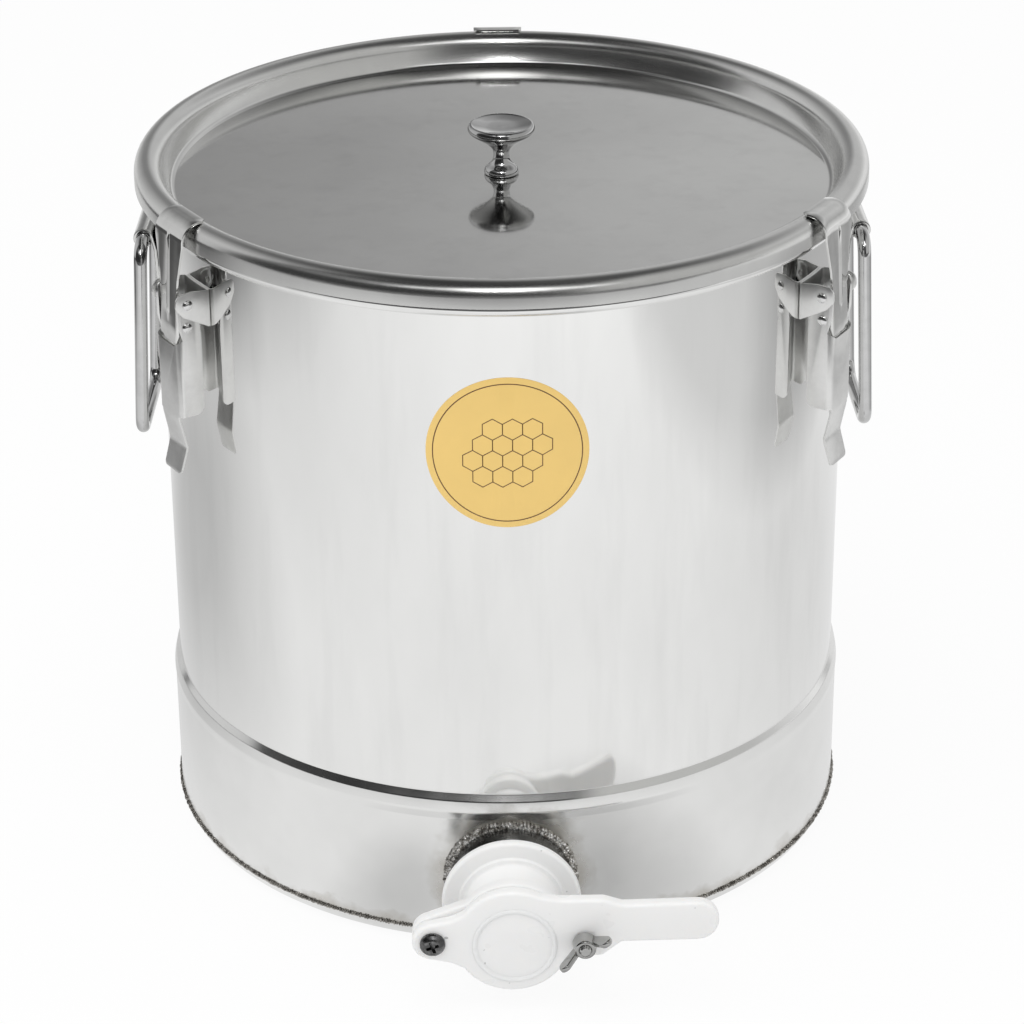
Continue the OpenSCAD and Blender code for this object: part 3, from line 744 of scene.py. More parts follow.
def bright_metal(name, tone, gloss, haze=0.05, pits=0.004 * MM):
    """Chromed or polished small parts with faint wear."""
    return worn(name, 1.0, gloss, (120.0, 4.0), [(0.3, scaled(tone, 0.9)), (0.6, tone)], (gloss, gloss + haze),
                fine=(1500.0, 2.0, pits))


def weld_metal(name, tone, crown, scale):
    """Weld metal: dark scale in the hollows, bright grains on the crowns."""
    return worn(name, 1.0, 0.35, (380.0, 5.0, (1, 1, 1), 0.7), [(0.34, scale), (0.46, tone), (0.58, crown)],
                (0.45, 0.12), 0.5 * MM, (1400.0, 3.0, 0.12 * MM))


def soft_rubber(name, tone, roughness):
    """Rubber, silicone or ink with a fine tooth."""
    return worn(name, 0.0, roughness, (900.0, 3.0), [(0.3, scaled(tone, 0.8)), (0.7, tone)], depth=0.02 * MM)


def label_foil(name, tone):
    """Gold printed foil with a soft sheen."""
    return worn(name, 0.0, 0.42, (40.0, 3.0), [(0.3, scaled(tone, 0.95)), (0.7, tone)], (0.38, 0.48),
                fine=(1800.0, 2.0, 0.01 * MM))


def blackened(name, tone):
    """Blackened steel, worn bright in places."""
    return worn(name, 1.0, 0.3, (350.0, 4.0), [(0.45, tone), (0.72, scaled(tone, 2.6))], (0.34, 0.22), 0.02 * MM)


def moulded_plastic(name, tone):
    """Glossy moulded plastic with faint flow marks and specks."""
    material, tree, inputs, place = new_finish(name, 0.0, 0.3)
    flow = grain(tree, place, 45.0, 3.0)
    fine = grain(tree, place, 900.0, 2.0)
    specks = shades(tree, grain(tree, place, 260.0, 1.0), [(0.18, scaled(tone, 0.55)), (0.22, tone)])
    for title, value in (("Subsurface Weight", 0.12), ("Subsurface Radius", (0.004, 0.0035, 0.003)),
                         ("Subsurface Scale", 1.0), ("IOR", 1.49)):
        inputs[title].default_value = value
    coat(tree, inputs, specks, ranged(tree, flow, 0.26, 0.36), (flow, 0.12 * MM), (fine, 0.004 * MM))
    return material


def finish_of(name):
    """A finish by its name, made when it is first asked for."""
    settings = bpy.context.scene.honey_tank
    tone, gate, shell = settings.finish, settings.gate, settings.shell
    outlet = (0, -shell.band_r, gate.axis_h)
    recipes = {
        "satin_sheet": (rolled_steel, tone.sheet, 0.03, 0.05, 0.12 * MM),
        "band_sheet": (banded_steel, scaled(tone.sheet, 0.97), 0.1, 0.12, tone.heat, outlet, gate.socket_r,
                       shell.corner_r),
        "polished_sheet": (rolled_steel, tone.lid, 0.06, 0.05, 0.05 * MM, (1, 6, 1), settings.lid.plate_r),
        "weld_steel": (weld_metal, tone.weld, tone.crown, tone.scale),
        "seam_steel": (weld_metal, scaled(tone.weld, 0.6), tone.seam, tone.scale),
        # Socket steel: heat tint plus a painted shade under the gate's flange, darker than turned steel.
        "heated_steel": (bright_metal, scaled(tone.turned, 0.4), 0.2, 0.12, 0.01 * MM),
        # Turned steel darkened as a painted shade, standing in for the dark room that the wing nut mirrors.
        "nut_steel": (bright_metal, scaled(tone.turned, 0.85), 0.1, 0.08, 0.006 * MM),
        "turned_steel": (bright_metal, tone.turned, 0.16, 0.12, 0.01 * MM),
        # Chrome darkened as a painted shade, standing in for the dark room that the knob mirrors.
        "chrome_knob": (bright_metal, scaled(tone.chrome, 0.7), 0.025, 0.02, 0.001 * MM),
        "bright_strip": (bright_metal, tone.strip, 0.03, 0.05, 0.001 * MM),
        "satin_strip": (bright_metal, tone.sheet, 0.3, 0.08),
        "rivet_steel": (bright_metal, tone.chrome, 0.08, 0.06),
        "handle_rod": (bright_metal, scaled(tone.chrome, 0.82), 0.05),
        "bracket_sheet": (bright_metal, tone.strip, 0.1, 0.08),
        "white_plastic": (moulded_plastic, tone.plastic),
        "gate_rubber": (soft_rubber, tone.rubber, 0.6),
        "lid_silicone": (soft_rubber, tone.silicone, 0.5),
        "dark_screw": (blackened, tone.screw),
        "label_foil": (label_foil, tone.gold),
        "label_ink": (soft_rubber, tone.ink, 0.5),
    }
    if name not in MADE:
        maker, *values = recipes[name]
        MADE[name] = maker(name, *values)
    return MADE[name]


# Pieces

class HONEYTANK_OT_shell(Operator):
    """Make the upper wall, its bead, the lower band and the bottom"""
    bl_idname = "honeytank.shell"
    bl_label = "Tank shell"

    def execute(self, context):
        settings = context.scene.honey_tank
        s = settings.shell
        add_piece("upper_wall", turned(self.wall(s), s.segments), "tank", "satin_sheet", "tank_shell")
        add_piece("rolled_bead", turned(self.bead(s), s.segments), "tank", "satin_sheet", "mouth_bead")
        add_piece("wide_band", self.band(s, settings.gate), "tank", "satin_sheet", "lower_band", finish="band_sheet")
        add_piece("pressed_bottom", turned(self.bottom(s), s.segments), "tank", "satin_sheet", "bottom_pan")
        return {"FINISHED"}

    def wall(self, s):
        levels = evenly(s.band_h + s.shoulder, s.mouth - 3 * MM, 8)
        return [(s.wall_r, z) for z in levels] + [(s.wall_r - s.sheet, z) for z in reversed(levels)]

    def bead(self, s):
        return arc((s.wall_r - s.sheet + s.bead_r, s.mouth), s.bead_r, 0, 360, 24)[:-1]

    def band(self, s, gate):
        """Band with a swelling below its shoulder, bored for the outlet."""
        wall, out, edge = s.wall_r - s.sheet / 2, s.band_r - s.sheet / 2, s.band_h
        swelling = mm_points((0, -11), (0.4, -6.5), origin=(out, edge))
        roll = mm_points((2.2, -1), (0, 2.4), origin=(wall, edge))
        line = round_corners([(out, s.corner_r), *swelling, *roll, (wall, edge + s.shoulder)],
                             mm(0, 6, 6, 2, 1.5, 0), closed=False, steps=8)
        bore_r, bore_len = gate.socket_r - gate.socket_t, s.band_r + 10 * MM
        bore = turned([(0, 0), (bore_r, 0), (bore_r, bore_len), (0, bore_len)], 64)
        bore.transform(gate_frame(gate) @ Matrix.Translation((0, 0, s.wall_r / 2)))
        return cut_out(turned(thicken(line, s.sheet), s.segments), bore)

    def bottom(self, s):
        half = s.sheet / 2
        corner = arc((s.band_r - s.corner_r, s.corner_r), s.corner_r - half, -90, 0, 10)
        return thicken([Vector((0, half))] + corner, s.sheet)


class HONEYTANK_OT_welds(Operator):
    """Make the welded socket and the two weld runs"""
    bl_idname = "honeytank.welds"
    bl_label = "Welds and socket"

    def execute(self, context):
        settings = context.scene.honey_tank
        s, g, tree = settings.shell, settings.gate, ripples_tree()
        add_piece("welded_socket", self.socket(s, g), "tank", "turned_steel", "outlet_socket", gate_frame(g),
                  "heated_steel")
        add_piece("bottom_weld_run", self.seam(s, g, tree), "tank", "weld_steel", "bottom_weld", finish="seam_steel")
        add_piece("outlet_weld_run", self.outlet(s, g, tree), "tank", "weld_steel", "outlet_weld")
        return {"FINISHED"}

    def ripples(self, tree, line, edges, radius, step, seed, finish):
        values = {"Ripple": radius, "Step": step * MM, "Seed": seed, "Finish": finish_of(finish)}
        return grown(tree, line, edges, values)

    def seam(self, s, g, tree):
        """Run round the bottom, open where the socket stands."""
        count, stop = 720, math.asin(g.socket_r / s.band_r) + 0.02
        radius, height = s.band_r + 0.1 * MM, s.corner_r + 0.8 * MM
        line = [(radius * math.sin(a), -radius * math.cos(a), height)
                for a in evenly(stop, 2 * math.pi - stop, count)]
        return self.ripples(tree, line, [(k, k + 1) for k in range(count)], s.seam_r, 1.5, 3, "seam_steel")

    def outlet(self, s, g, tree):
        """Three runs round the socket: distance from it, lift off the wall, size, step and seed."""
        runs, rows = [], ((0.8, 0.4, 1.0, 2.0, 5), (2.4, 0.9, 0.75, 1.9, 8), (0.4, 1.6, 0.5, 1.6, 11))
        for out, lift, size, step, seed in rows:
            ring = self.saddle(s.band_r + lift * MM, g.socket_r + out * MM, g.axis_h)
            edges = [(k, (k + 1) % len(ring)) for k in range(len(ring))]
            runs.append(self.ripples(tree, ring, edges, s.weld_r * size, step, seed, "weld_steel"))
        return joined(*runs)

    def saddle(self, wall_r, ring_r, height, count=180):
        """Points round the socket, on the band's wall."""
        turns = [2 * math.pi * k / count for k in range(count)]
        spots = [(ring_r * math.cos(a), ring_r * math.sin(a)) for a in turns]
        return [(x, -chord(wall_r, x), height + z) for x, z in spots]

    def socket(self, s, g):
        """Tube whose inner end follows the band's wall."""
        inner, outer, start, end = g.socket_r - g.socket_t, g.socket_r, s.band_r - 2.5 * MM, g.socket_end
        form = turned(round_corners([(inner, start), (outer, start), (outer, end), (inner, end)],
                                    mm(0, 0, 1, 1), steps=4))
        for vert in form.verts:
            if vert.co.z < start + 0.01 * MM:
                vert.co.z = chord(s.band_r - 0.05 * MM, vert.co.x)
        return form


class HONEYTANK_OT_label(Operator):
    """Make the round label and its printed comb"""
    bl_idname = "honeytank.label"
    bl_label = "Label"

    def execute(self, context):
        settings = context.scene.honey_tank
        wall, label = settings.shell.wall_r, settings.label
        foil, printed = self.foil(label), self.printed(label)
        self.wrap(foil, wall, label.height)
        add_piece("label_foil_disc", foil, "tank", "label_foil", "label_disc")
        self.wrap(printed, wall + label.foil + PRINT_T / 2, label.height)
        add_piece("label_print", printed, "tank", "label_foil", finish="label_ink")
        return {"FINISHED"}

    def foil(self, label):
        """Thin disc, cut into strips so that it can bend."""
        r, t, strips = label.radius, label.foil, 10
        disc = turned(round_corners([(0, 0), (r, 0), (r, t), (0, t)], mm(0, 0, 0.15, 0), steps=3), 128)
        for k in range(1, strips):
            for side in (1, -1):
                cut_line(disc, 0, side * r * k / strips)
        return disc

    def printed(self, label):
        """A ring and a small comb."""
        inner, outer = label.ring_r - label.line / 2, label.ring_r + label.line / 2
        ring = turned([(inner, 0), (outer, 0), (outer, PRINT_T), (inner, PRINT_T)], 128)
        values = {"Cell": label.cell_r, "Line": label.line, "Finish": finish_of("label_ink")}
        cells = grown(comb_tree(), self.comb(label.cell_r), [], values)
        cells.transform(turned_by(30))
        return joined(ring, cells)

    def comb(self, cell):
        """Centres of the comb: rows of two, three, four, three and two cells."""
        step = cell * math.sqrt(3)
        return [((row - 2) * cell * 1.5, (k - (count - 1) / 2) * step, 0)
                for row, count in enumerate((2, 3, 4, 3, 2)) for k in range(count)]

    def wrap(self, form, radius, height):
        """Lays a flat form round the wall's front."""
        for vert in form.verts:
            r, a = radius + vert.co.z, vert.co.x / radius
            vert.co = (r * math.sin(a), -r * math.cos(a), height + vert.co.y)


class HONEYTANK_OT_lid(Operator):
    """Make the dish lid, its knob and its gasket"""
    bl_idname = "honeytank.lid"
    bl_label = "Lid"

    def execute(self, context):
        settings = context.scene.honey_tank
        lid, s = settings.lid, settings.shell
        add_piece("dish_lid", turned(self.pan(lid, s.sheet), s.segments), "lid", "polished_sheet", "lid_pan",
                  sharp=50)
        add_piece("mushroom_knob", self.knob(lid), "lid", "chrome_knob", "lid_knob",
                  Matrix.Translation((0, 0, lid.plate_h)), sharp=60)
        dress("lid_silicone", "lid_gasket")
        dress("turned_steel", "knob_washer", "knob_screw")
        return {"FINISHED"}

    def pan(self, lid, sheet):
        """Plate, sloping inner wall, arched rim and skirt."""
        half = sheet / 2
        plate = lid.plate_h - half
        rim = arc((lid.skirt_r - lid.arch_r, lid.crest_h - lid.arch_r), lid.arch_r - half, 180, 0, 20)
        line = round_corners([(0, plate), (lid.plate_r * 0.5, plate), (lid.plate_r + half, plate), rim[0]],
                             mm(0, 0, 4, 0), closed=False, steps=8)
        return thicken(line[:-1] + rim + [Vector((lid.skirt_r - half, lid.skirt_low))], sheet)

    def knob(self, lid):
        """Foot, stem and dished head, in shares of the knob's radius and height."""
        side = ((0.36, 0.0), (0.50, 0.012), (0.515, 0.06), (0.47, 0.13), (0.32, 0.22), (0.245, 0.33), (0.245, 0.43),
                (0.30, 0.52), (0.50, 0.64), (0.78, 0.76), (0.95, 0.84), (1.0, 0.905), (0.965, 0.975), (0.90, 1.0),
                (0.82, 0.985), (0.5, 0.95), (0.2, 0.94), (0.0, 0.94))
        return turned([(0, 0)] + smooth_line([(x * lid.knob_r, z * lid.knob_h) for x, z in side], 6))


class HONEYTANK_OT_latches(Operator):
    """Make the three toggle latches"""
    bl_idname = "honeytank.latches"
    bl_label = "Latches"

    def execute(self, context):
        settings = context.scene.honey_tank
        latch = settings.latch
        for side, turn in LATCHES.items():
            place = turned_by(turn)
            add_piece(f"base_{side}", self.base(latch, settings.shell.wall_r), "tank", "bright_strip",
                      f"latch_base_{side}", place, "satin_strip")
            add_piece(f"lever_{side}", self.lever(latch), f"lever_{side}", "satin_strip",
                      f"latch_lever_{side}", place, sharp=30)
            add_piece(f"strap_{side}", self.strap(latch, settings.lid), f"strap_{side}", "bright_strip",
                      f"latch_strap_{side}", place, sharp=30)
        self.rivets(latch)
        return {"FINISHED"}

    def base(self, latch, wall):
        """Back plate on the wall and two ears round the fulcrum, folded from one strip."""
        t, bend, ear_r, up, down = latch.strip, *mm(1.6, 6.66, 5.0, 15.0)
        flat, turn = (latch.base_w - t) / 2, bend * math.pi / 2
        start = flat - bend
        reach = latch.fulcrum_r - (wall + t / 2 + bend - start - turn)
        tip = ((0.35, -0.95), (1.0, -0.2), (0.9, 0.85), (-0.4, 0.98))
        ear = [(start, -down), *((reach + ear_r * x, ear_r * z) for x, z in tip), (start, up)]
        ear = round_corners(ear, mm(0, 4, 4, 4, 5, 0), closed=False)
        cuts = evenly(start, start + turn, 5)
        ribs = [flat * k / 4 for k in range(-3, 4)]

        def place(u, v):
            depth, y = fold_at(u, start, bend)
            on_wall = max(0.0, min(1.0, 1 - (abs(u) - start) / turn))
            return Vector((wall + t / 2 + depth - (wall - chord(wall, y)) * on_wall, y, latch.fulcrum_h + v))

        return folded(ear + flipped(ear), cuts + [-c for c in cuts] + ribs, [], place, t)

    def lever(self, latch):
        """Channel with a front plate, two cheeks and a cranked finger tab, folded from one strip."""
        t, c = latch.strip, latch.crank
        front, back, knuckle, low_end, tab, bend = mm(6.0, -7.54, 5.46, -61.0, 32.0, 2.6)
        front -= t / 2
        turn, start = bend * math.pi / 2, (latch.lever_w - t) / 2 - bend
        edge, fold = start + turn, front - bend
        side = [(fold, low_end), (back, low_end), (back, -1.5 * c), (-knuckle, -0.1 * c), (-knuckle, knuckle),
                (knuckle, knuckle), (knuckle - 0.6 * MM, -0.9 * c)]
        cheek = round_corners([(edge + fold - x, z) for x, z in side], mm(0, 5, 9, 6, 5.3, 5.3, 0), closed=False)
        outline = cheek + self.brow(start, edge) + flipped(cheek) + self.tongue(latch.lever_w, start, low_end, tab)
        slide = round_corners([(0, low_end + 3 * MM), (0, low_end - 1 * MM), (-0.11 * tab, low_end - 0.56 * tab),
                               (0.02 * tab, low_end - tab)], mm(0, 4, 4, 0), closed=False)

        def place(u, v):
            depth, y = fold_at(u, start, bend)
            stand = offset_at(slide, v) if v < low_end else 0.0
            return Vector((latch.fulcrum_r + front - depth + stand, y, latch.fulcrum_h + v))

        cuts = evenly(start, edge, 6)
        return folded(outline, cuts + [-x for x in cuts], evenly(low_end, low_end - tab, 16), place, t)

    def brow(self, start, edge):
        """Upper edge of the lever's front plate, from right to left."""
        high_z, low_z = mm(-19.25, -22.75)
        half = [(edge, high_z), (start - 1 * MM, low_z)]
        return round_corners(half + flipped(half), mm(0, 5, 5, 0), closed=False)

    def tongue(self, width, start, low_end, tab):
        """Edge of the finger tab, from left to right."""
        right = [(width * 0.37, low_end - tab), (width * 0.385, low_end - 0.55 * tab), (start, low_end)]
        return round_corners(flipped(right) + right, mm(2, 8, 2.5, 2.5, 8, 2), closed=False)

    def strap(self, latch, lid):
        """Plate that leans in and hooks over the lid's crest, with a pressed rib and two lugs at its foot."""
        t, pin_h = latch.strip, latch.fulcrum_h - latch.crank
        line, rise, hook_r = self.strap_line(latch, lid, pin_h)
        bend, lug_top, rib_w, rib_d, rib_end = mm(1.2, 21, 1.7, 0.9, 3)
        half, wide, turn = latch.waist_w / 2, latch.hook_w / 2, bend * math.pi / 2
        start = half - t / 2 - bend
        fold = start + turn
        lug = mm_points((8.0, 3.0), (10.5, 9), (8.0, 14), origin=(fold, 0))
        side = [(half - 1 * MM, 0.0), *lug, (start + turn * 0.5, 20 * MM), (half, rise * 0.62), (wide, rise * 0.97),
                (wide, line.length - 2.5 * MM), (wide - 1.5 * MM, line.length)]
        side = round_corners(side, mm(0, 3, 4, 3, 2, 10, 8, 1.5, 1), closed=False)
        rib_low, rib_high = rise * 0.24, rise + hook_r * 0.3

        def place(u, v):
            p, n = line.at(v)
            depth, y = fold_at(u, start, bend) if v < lug_top else (0.0, u)
            p = p - Vector((depth, 0))
            if abs(u) < rib_w and rib_low < v < rib_high:
                ends = min(v - rib_low, rib_high - v) / rib_end
                p = p - n * (rib_d * math.cos(u / rib_w * math.pi / 2) ** 2 * min(1.0, ends))
            return Vector((latch.fulcrum_r + p.x, y, pin_h + p.y))

        bends = evenly(start, fold, 4)
        across = bends + [-b for b in bends] + [rib_w * k / 4 for k in range(-4, 5)]
        ends = mm(1, 2, 3)
        along = line.marks[1:-1] + [lug_top, rib_low, rib_high]
        along += [rib_low + e for e in ends] + [rib_high - e for e in ends]
        return folded(side + flipped(side), across, along, place, t)

    def strap_line(self, latch, lid, pin_h):
        """The strap seen from its side, from foot to lip; its straight length and its hook's radius too."""
        half, clear, lip = latch.strip / 2, 0.4 * MM, 3.6 * MM
        foot = Vector((5.1 * MM - half, -8.75 * MM))
        hook_r = 9.36 * MM + half
        lip_z = lid.crest_h + clear + half - pin_h
        centre_x = lid.skirt_r + 3.6 * MM + half - latch.fulcrum_r - hook_r
        hook = arc((centre_x, lip_z - hook_r), hook_r, 0, 90, 14)
        rising = [foot.lerp(hook[0], k / 6) for k in range(6)]
        return Path(rising + hook + [Vector((centre_x - lip, lip_z))]), (hook[0] - foot).length, hook_r

    def rivets(self, latch):
        """Domed heads on the ears and on the strap pins, one piece for each body."""
        r, t, rim = latch.head_r, latch.head_t, 0.2
        turns = [math.pi / 16 * k for k in range(1, 8)]
        dome = [(r * math.cos(a), t * (rim + (1 - rim) * math.sin(a))) for a in turns]
        head = as_object(turned([(0, 0), (r, 0), (r, rim * t)] + dome + [(0, t)], 28), "head")
        tree, values = heads_tree(), {"Head": head, "Finish": finish_of("rivet_steel")}
        for side, turn in LATCHES.items():
            place = turned_by(turn)
            for name, body, width, height, solid in (
                    ("ear_rivets", "tank", latch.base_w, latch.fulcrum_h, "fulcrum_rivets"),
                    ("pin_heads", f"lever_{side}", latch.lever_w, latch.fulcrum_h - latch.crank, "strap_pin")):
                spots = [place @ Vector((latch.fulcrum_r, s * width / 2, height)) for s in (-1, 1)]
                aims = [place.to_3x3() @ Vector((0, s, 0)) for s in (-1, 1)]
                shanks = [spots] if solid == "strap_pin" else [(p, p - a * 3.6 * MM) for p, a in zip(spots, aims)]
                form = joined(grown(tree, spots, [], values, aims),
                              *(bent_rod(shank, latch.pin_r, closed=False) for shank in shanks))
                add_piece(f"{name}_{side}", form, body, "rivet_steel", f"{solid}_{side}")
        discard(head)


class HONEYTANK_OT_handles(Operator):
    """Make the drop handles and their curled brackets"""
    bl_idname = "honeytank.handles"
    bl_label = "Handles"

    def execute(self, context):
        settings = context.scene.honey_tank
        h, wall = settings.handle, settings.shell.wall_r
        for side, turn in HANDLES.items():
            place = turned_by(turn)
            add_piece(f"rod_{side}", self.rod(h), f"handle_{side}", "handle_rod", f"handle_{side}", place)
            add_piece(f"bracket_{side}", self.bracket(h, wall), "tank", "bracket_sheet", f"handle_bracket_{side}",
                      place)
        return {"FINISHED"}

    def rod(self, h):
        half = h.width / 2
        loop = round_corners([(-half, 0), (half, 0), (half, -h.drop), (-half, -h.drop)], h.bend_r, steps=12)
        return bent_rod([(h.hinge_r - p.y * math.sin(h.tilt), p.x, h.hinge_h + p.y * math.cos(h.tilt)) for p in loop],
                        h.rod_r)

    def bracket(self, h, wall):
        """Plate on the wall that curls out over the rod."""
        t, half = h.bracket_t, h.bracket_w / 2
        plate_x, foot, neck = wall + t / 2, h.hinge_h - 26 * MM, h.hinge_h - 6 * MM
        curl = arc((h.hinge_r, h.hinge_h), h.rod_r + 0.12 * MM + t / 2, 168, -150, 30)
        line = Path(round_corners([(plate_x, foot), (plate_x, neck), curl[0]], mm(0, 8, 0), closed=False) + curl[1:])
        outline = round_corners([(-half, 0), (half, 0), (half, line.length), (-half, line.length)],
                                mm(6, 6, 1.5, 1.5))

        def place(u, v):
            p, _ = line.at(v)
            on_wall = max(0.0, min(1.0, (h.hinge_h - 4 * MM - p.y) / (10 * MM)))
            return Vector((p.x - (wall - chord(wall, u)) * on_wall, u, p.y))

        return folded(outline, [half * k / 6 for k in range(-5, 6)], line.marks[1:-1], place, t)


class HONEYTANK_OT_gate(Operator):
    """Make the plastic gate with its leaf, screw, stud and wing nut"""
    bl_idname = "honeytank.gate"
    bl_label = "Honey gate"

    def execute(self, context):
        g = context.scene.honey_tank.gate
        place = gate_frame(g)
        add_piece("gate_nozzle", self.body(g), "tank", "white_plastic", "gate_body", place)
        add_piece("gate_flap", self.leaf(g), "leaf", "white_plastic", "gate_leaf", place)
        add_piece("pivot_screw_head", self.screw(g), "tank", "dark_screw", "pivot_screw", place)
        add_piece("lock_stud_thread", self.stud(g), "tank", "turned_steel", "lock_stud", place)
        add_piece("wing_nut_cast", self.wing_nut(g), "wing_nut", "turned_steel", "wing_nut", place, "nut_steel")
        dress("gate_rubber", "gate_seal", "leaf_seal")
        dress("turned_steel", "pivot_nut")
        return {"FINISHED"}

    def body(self, g):
        """Nipple, flange, filleted neck and face plate with two ears."""
        nipple, flange, neck = mm(186.0, 201.0, 206.04)
        nipple_r, face = g.socket_r - g.socket_t - 0.2 * MM, g.face_z + 1 * MM
        foot = mm_points((3.4, 0), (2.6, 1.2), (0, 1.6), origin=(g.neck_r, neck))
        outline = round_corners(
            [(g.bore_r, nipple), (nipple_r, nipple), (nipple_r, flange), (g.flange_r, flange), (g.flange_r, neck),
             *foot, (g.neck_r, face), (g.bore_r, face)], mm(0.5, 1, 0, 1.4, 2.0, 0.9, 0.6, 2.2, 0, 0))
        hole = arc((0, 0), g.bore_r, 0, 360, 64)[:-1]
        plate = slab([self.face_outline(g), hole], g.face_z, g.face_z + g.leaf_t, 1.2 * MM)
        return joined(turned(outline, 128), plate)

    def face_outline(self, g):
        left = arc((-g.pivot_x, 0), 10.3 * MM, 105, 255, 20)
        right = arc((g.stud_x, 0), 9.0 * MM, -75, 75, 20)
        return left + arc((0, 0), g.leaf_r, 218, 326, 28) + right + arc((0, 0), g.leaf_r, 34, 142, 28)

    def leaf(self, g):
        """Flap with its ear, disc, raised ring, slot and handle."""
        top = g.leaf_z + g.leaf_t
        flap = slab([self.leaf_outline(g)], g.leaf_z, top, g.soft_edge, 5)
        ring = mm_points((-2.4, -0.6), (-1.5, 0.1), (-0.6, 0.55), (0.2, 0.58), (0.9, 0.2), (1.5, -0.6),
                         origin=(g.leaf_r * 0.7, top))
        raised = turned(smooth_line(ring, 4), 128)
        raised.transform(Matrix.Translation(mm(1, -2.2, 0)))
        return joined(flap, raised)

    def leaf_outline(self, g):
        """The flap's edge in parts, each with the rounding of its corners in millimetres."""
        r, arm, gap = g.leaf_r, g.pivot_x + g.stud_x, g.stud_r + 0.3 * MM
        pivot, grip_r, grip_y = (-g.pivot_x, 0), 0.38 * r, 0.368 * r
        ear = arc(pivot, 10.32 * MM, 98, 262, 20)
        slot = (arc(pivot, arm - gap, -7.4, -1, 5) + arc((g.stud_x, 0), gap, 176, 4, 12)
                + arc(pivot, arm + gap, -1, -5.2, 5))
        hook = mm_points((40.2, -9.2), (44.6, -9.0), (54.6, -0.9))
        grip = arc((g.reach - grip_r, grip_y), grip_r, -90, 90, 18)
        top = mm_points((54.6, 20.8), (45.6, 23.9), (24.0, 23.9))
        parts = ((ear, 0), (mm_points((-31, -12.4)), 14), (arc((0, 0), r, 213, 337, 32), 0),
                 (mm_points((31.6, -10.6)), 2.2), (slot, 0), (hook, 3.5), (grip, 0), (top, 7),
                 (arc((0, 0), r, 62, 147, 24), 0), (mm_points((-31, 12.4)), 14))
        points = [p for part, _ in parts for p in part]
        return round_corners(points, mm(*(radius for part, radius in parts for _ in part)))

    def screw(self, g):
        """Pan head with a cross recess on a plain shank."""
        start, head = g.face_z - 4.8 * MM, g.leaf_z + g.leaf_t + 0.3 * MM
        r, t, arm, width = g.head_r, g.head_t, *mm(3.3, 0.85)
        outline = round_corners([(0, start), (g.stud_r, start), (g.stud_r, head), (r, head), (r, head + 0.45 * t),
                                 (r * 0.62, head + t), (0, head + t)], mm(0, 0.6, 0, 0.3, 1.8, 3, 0))
        quarter = [Vector((width, width)), Vector((width, arm)), Vector((-width, arm))]
        cross = [(turned_by(90 * k) @ p.to_3d()).to_2d() for k in range(4) for p in quarter]
        recess = slab([round_corners(cross, 0.25 * MM, steps=2)], head + 0.35 * t, head + t + 2 * MM)
        form = cut_out(turned(outline, 64), recess)
        form.transform(Matrix.Translation((-g.pivot_x, 0, 0)) @ turned_by(20))
        return form

    def stud(self, g):
        """Headed stud with a threaded end."""
        back, end = g.face_z - g.head_t, min(g.stud_end, g.nut_z + 9 * MM)
        level, pitch, depth, tip = g.leaf_z + g.leaf_t * 0.6, *mm(1.0, 0.45, 0.8)
        outline = [(0, back), (6.2 * MM, back), (g.head_r, back + 0.4 * MM), (g.head_r, g.face_z),
                   (g.stud_r, g.face_z)]
        while level < end - 1.2 * MM:
            outline += [(g.stud_r, level), (g.stud_r - depth, level + pitch / 2)]
            level += pitch
        outline += [(g.stud_r, level), (g.stud_r, end - 0.9 * MM), (g.stud_r - tip, end), (0, end)]
        form = turned(outline, 48)
        form.transform(Matrix.Translation((g.stud_x, 0, 0)))
        return form

    def wing_nut(self, g):
        """Tapered hub and two rising wings."""
        bore, hub_r, hub_t, half, edge = g.stud_r + 0.05 * MM, *mm(6.48, 7.5, 1.5, 0.9)
        hub = turned(round_corners([(bore, 0), (hub_r, 0), (hub_r * 0.8, hub_t), (bore, hub_t)],
                                   mm(0.3, 0.8, 1.2, 0.5)), 48)
        side = [(hub_r * 0.66, edge), (hub_r * 0.95, edge), *mm_points((15.2, 8.8), (15.4, 13.2), (11.0, 14.1)),
                (hub_r * 0.72, 6.9 * MM)]
        side = round_corners(side, mm(0.5, 2, 2.6, 2.6, 3, 0.5), steps=5)
        wings = [slab([side], -half, half, edge, 3) for _ in range(2)]
        for wing, turn in zip(wings, (0, 180)):
            wing.transform(turned_by(turn) @ turned_by(90, "X"))
        form = joined(hub, *wings)
        form.transform(Matrix.Translation((g.stud_x, 0, g.nut_z)) @ turned_by(35))
        return form


# Stage

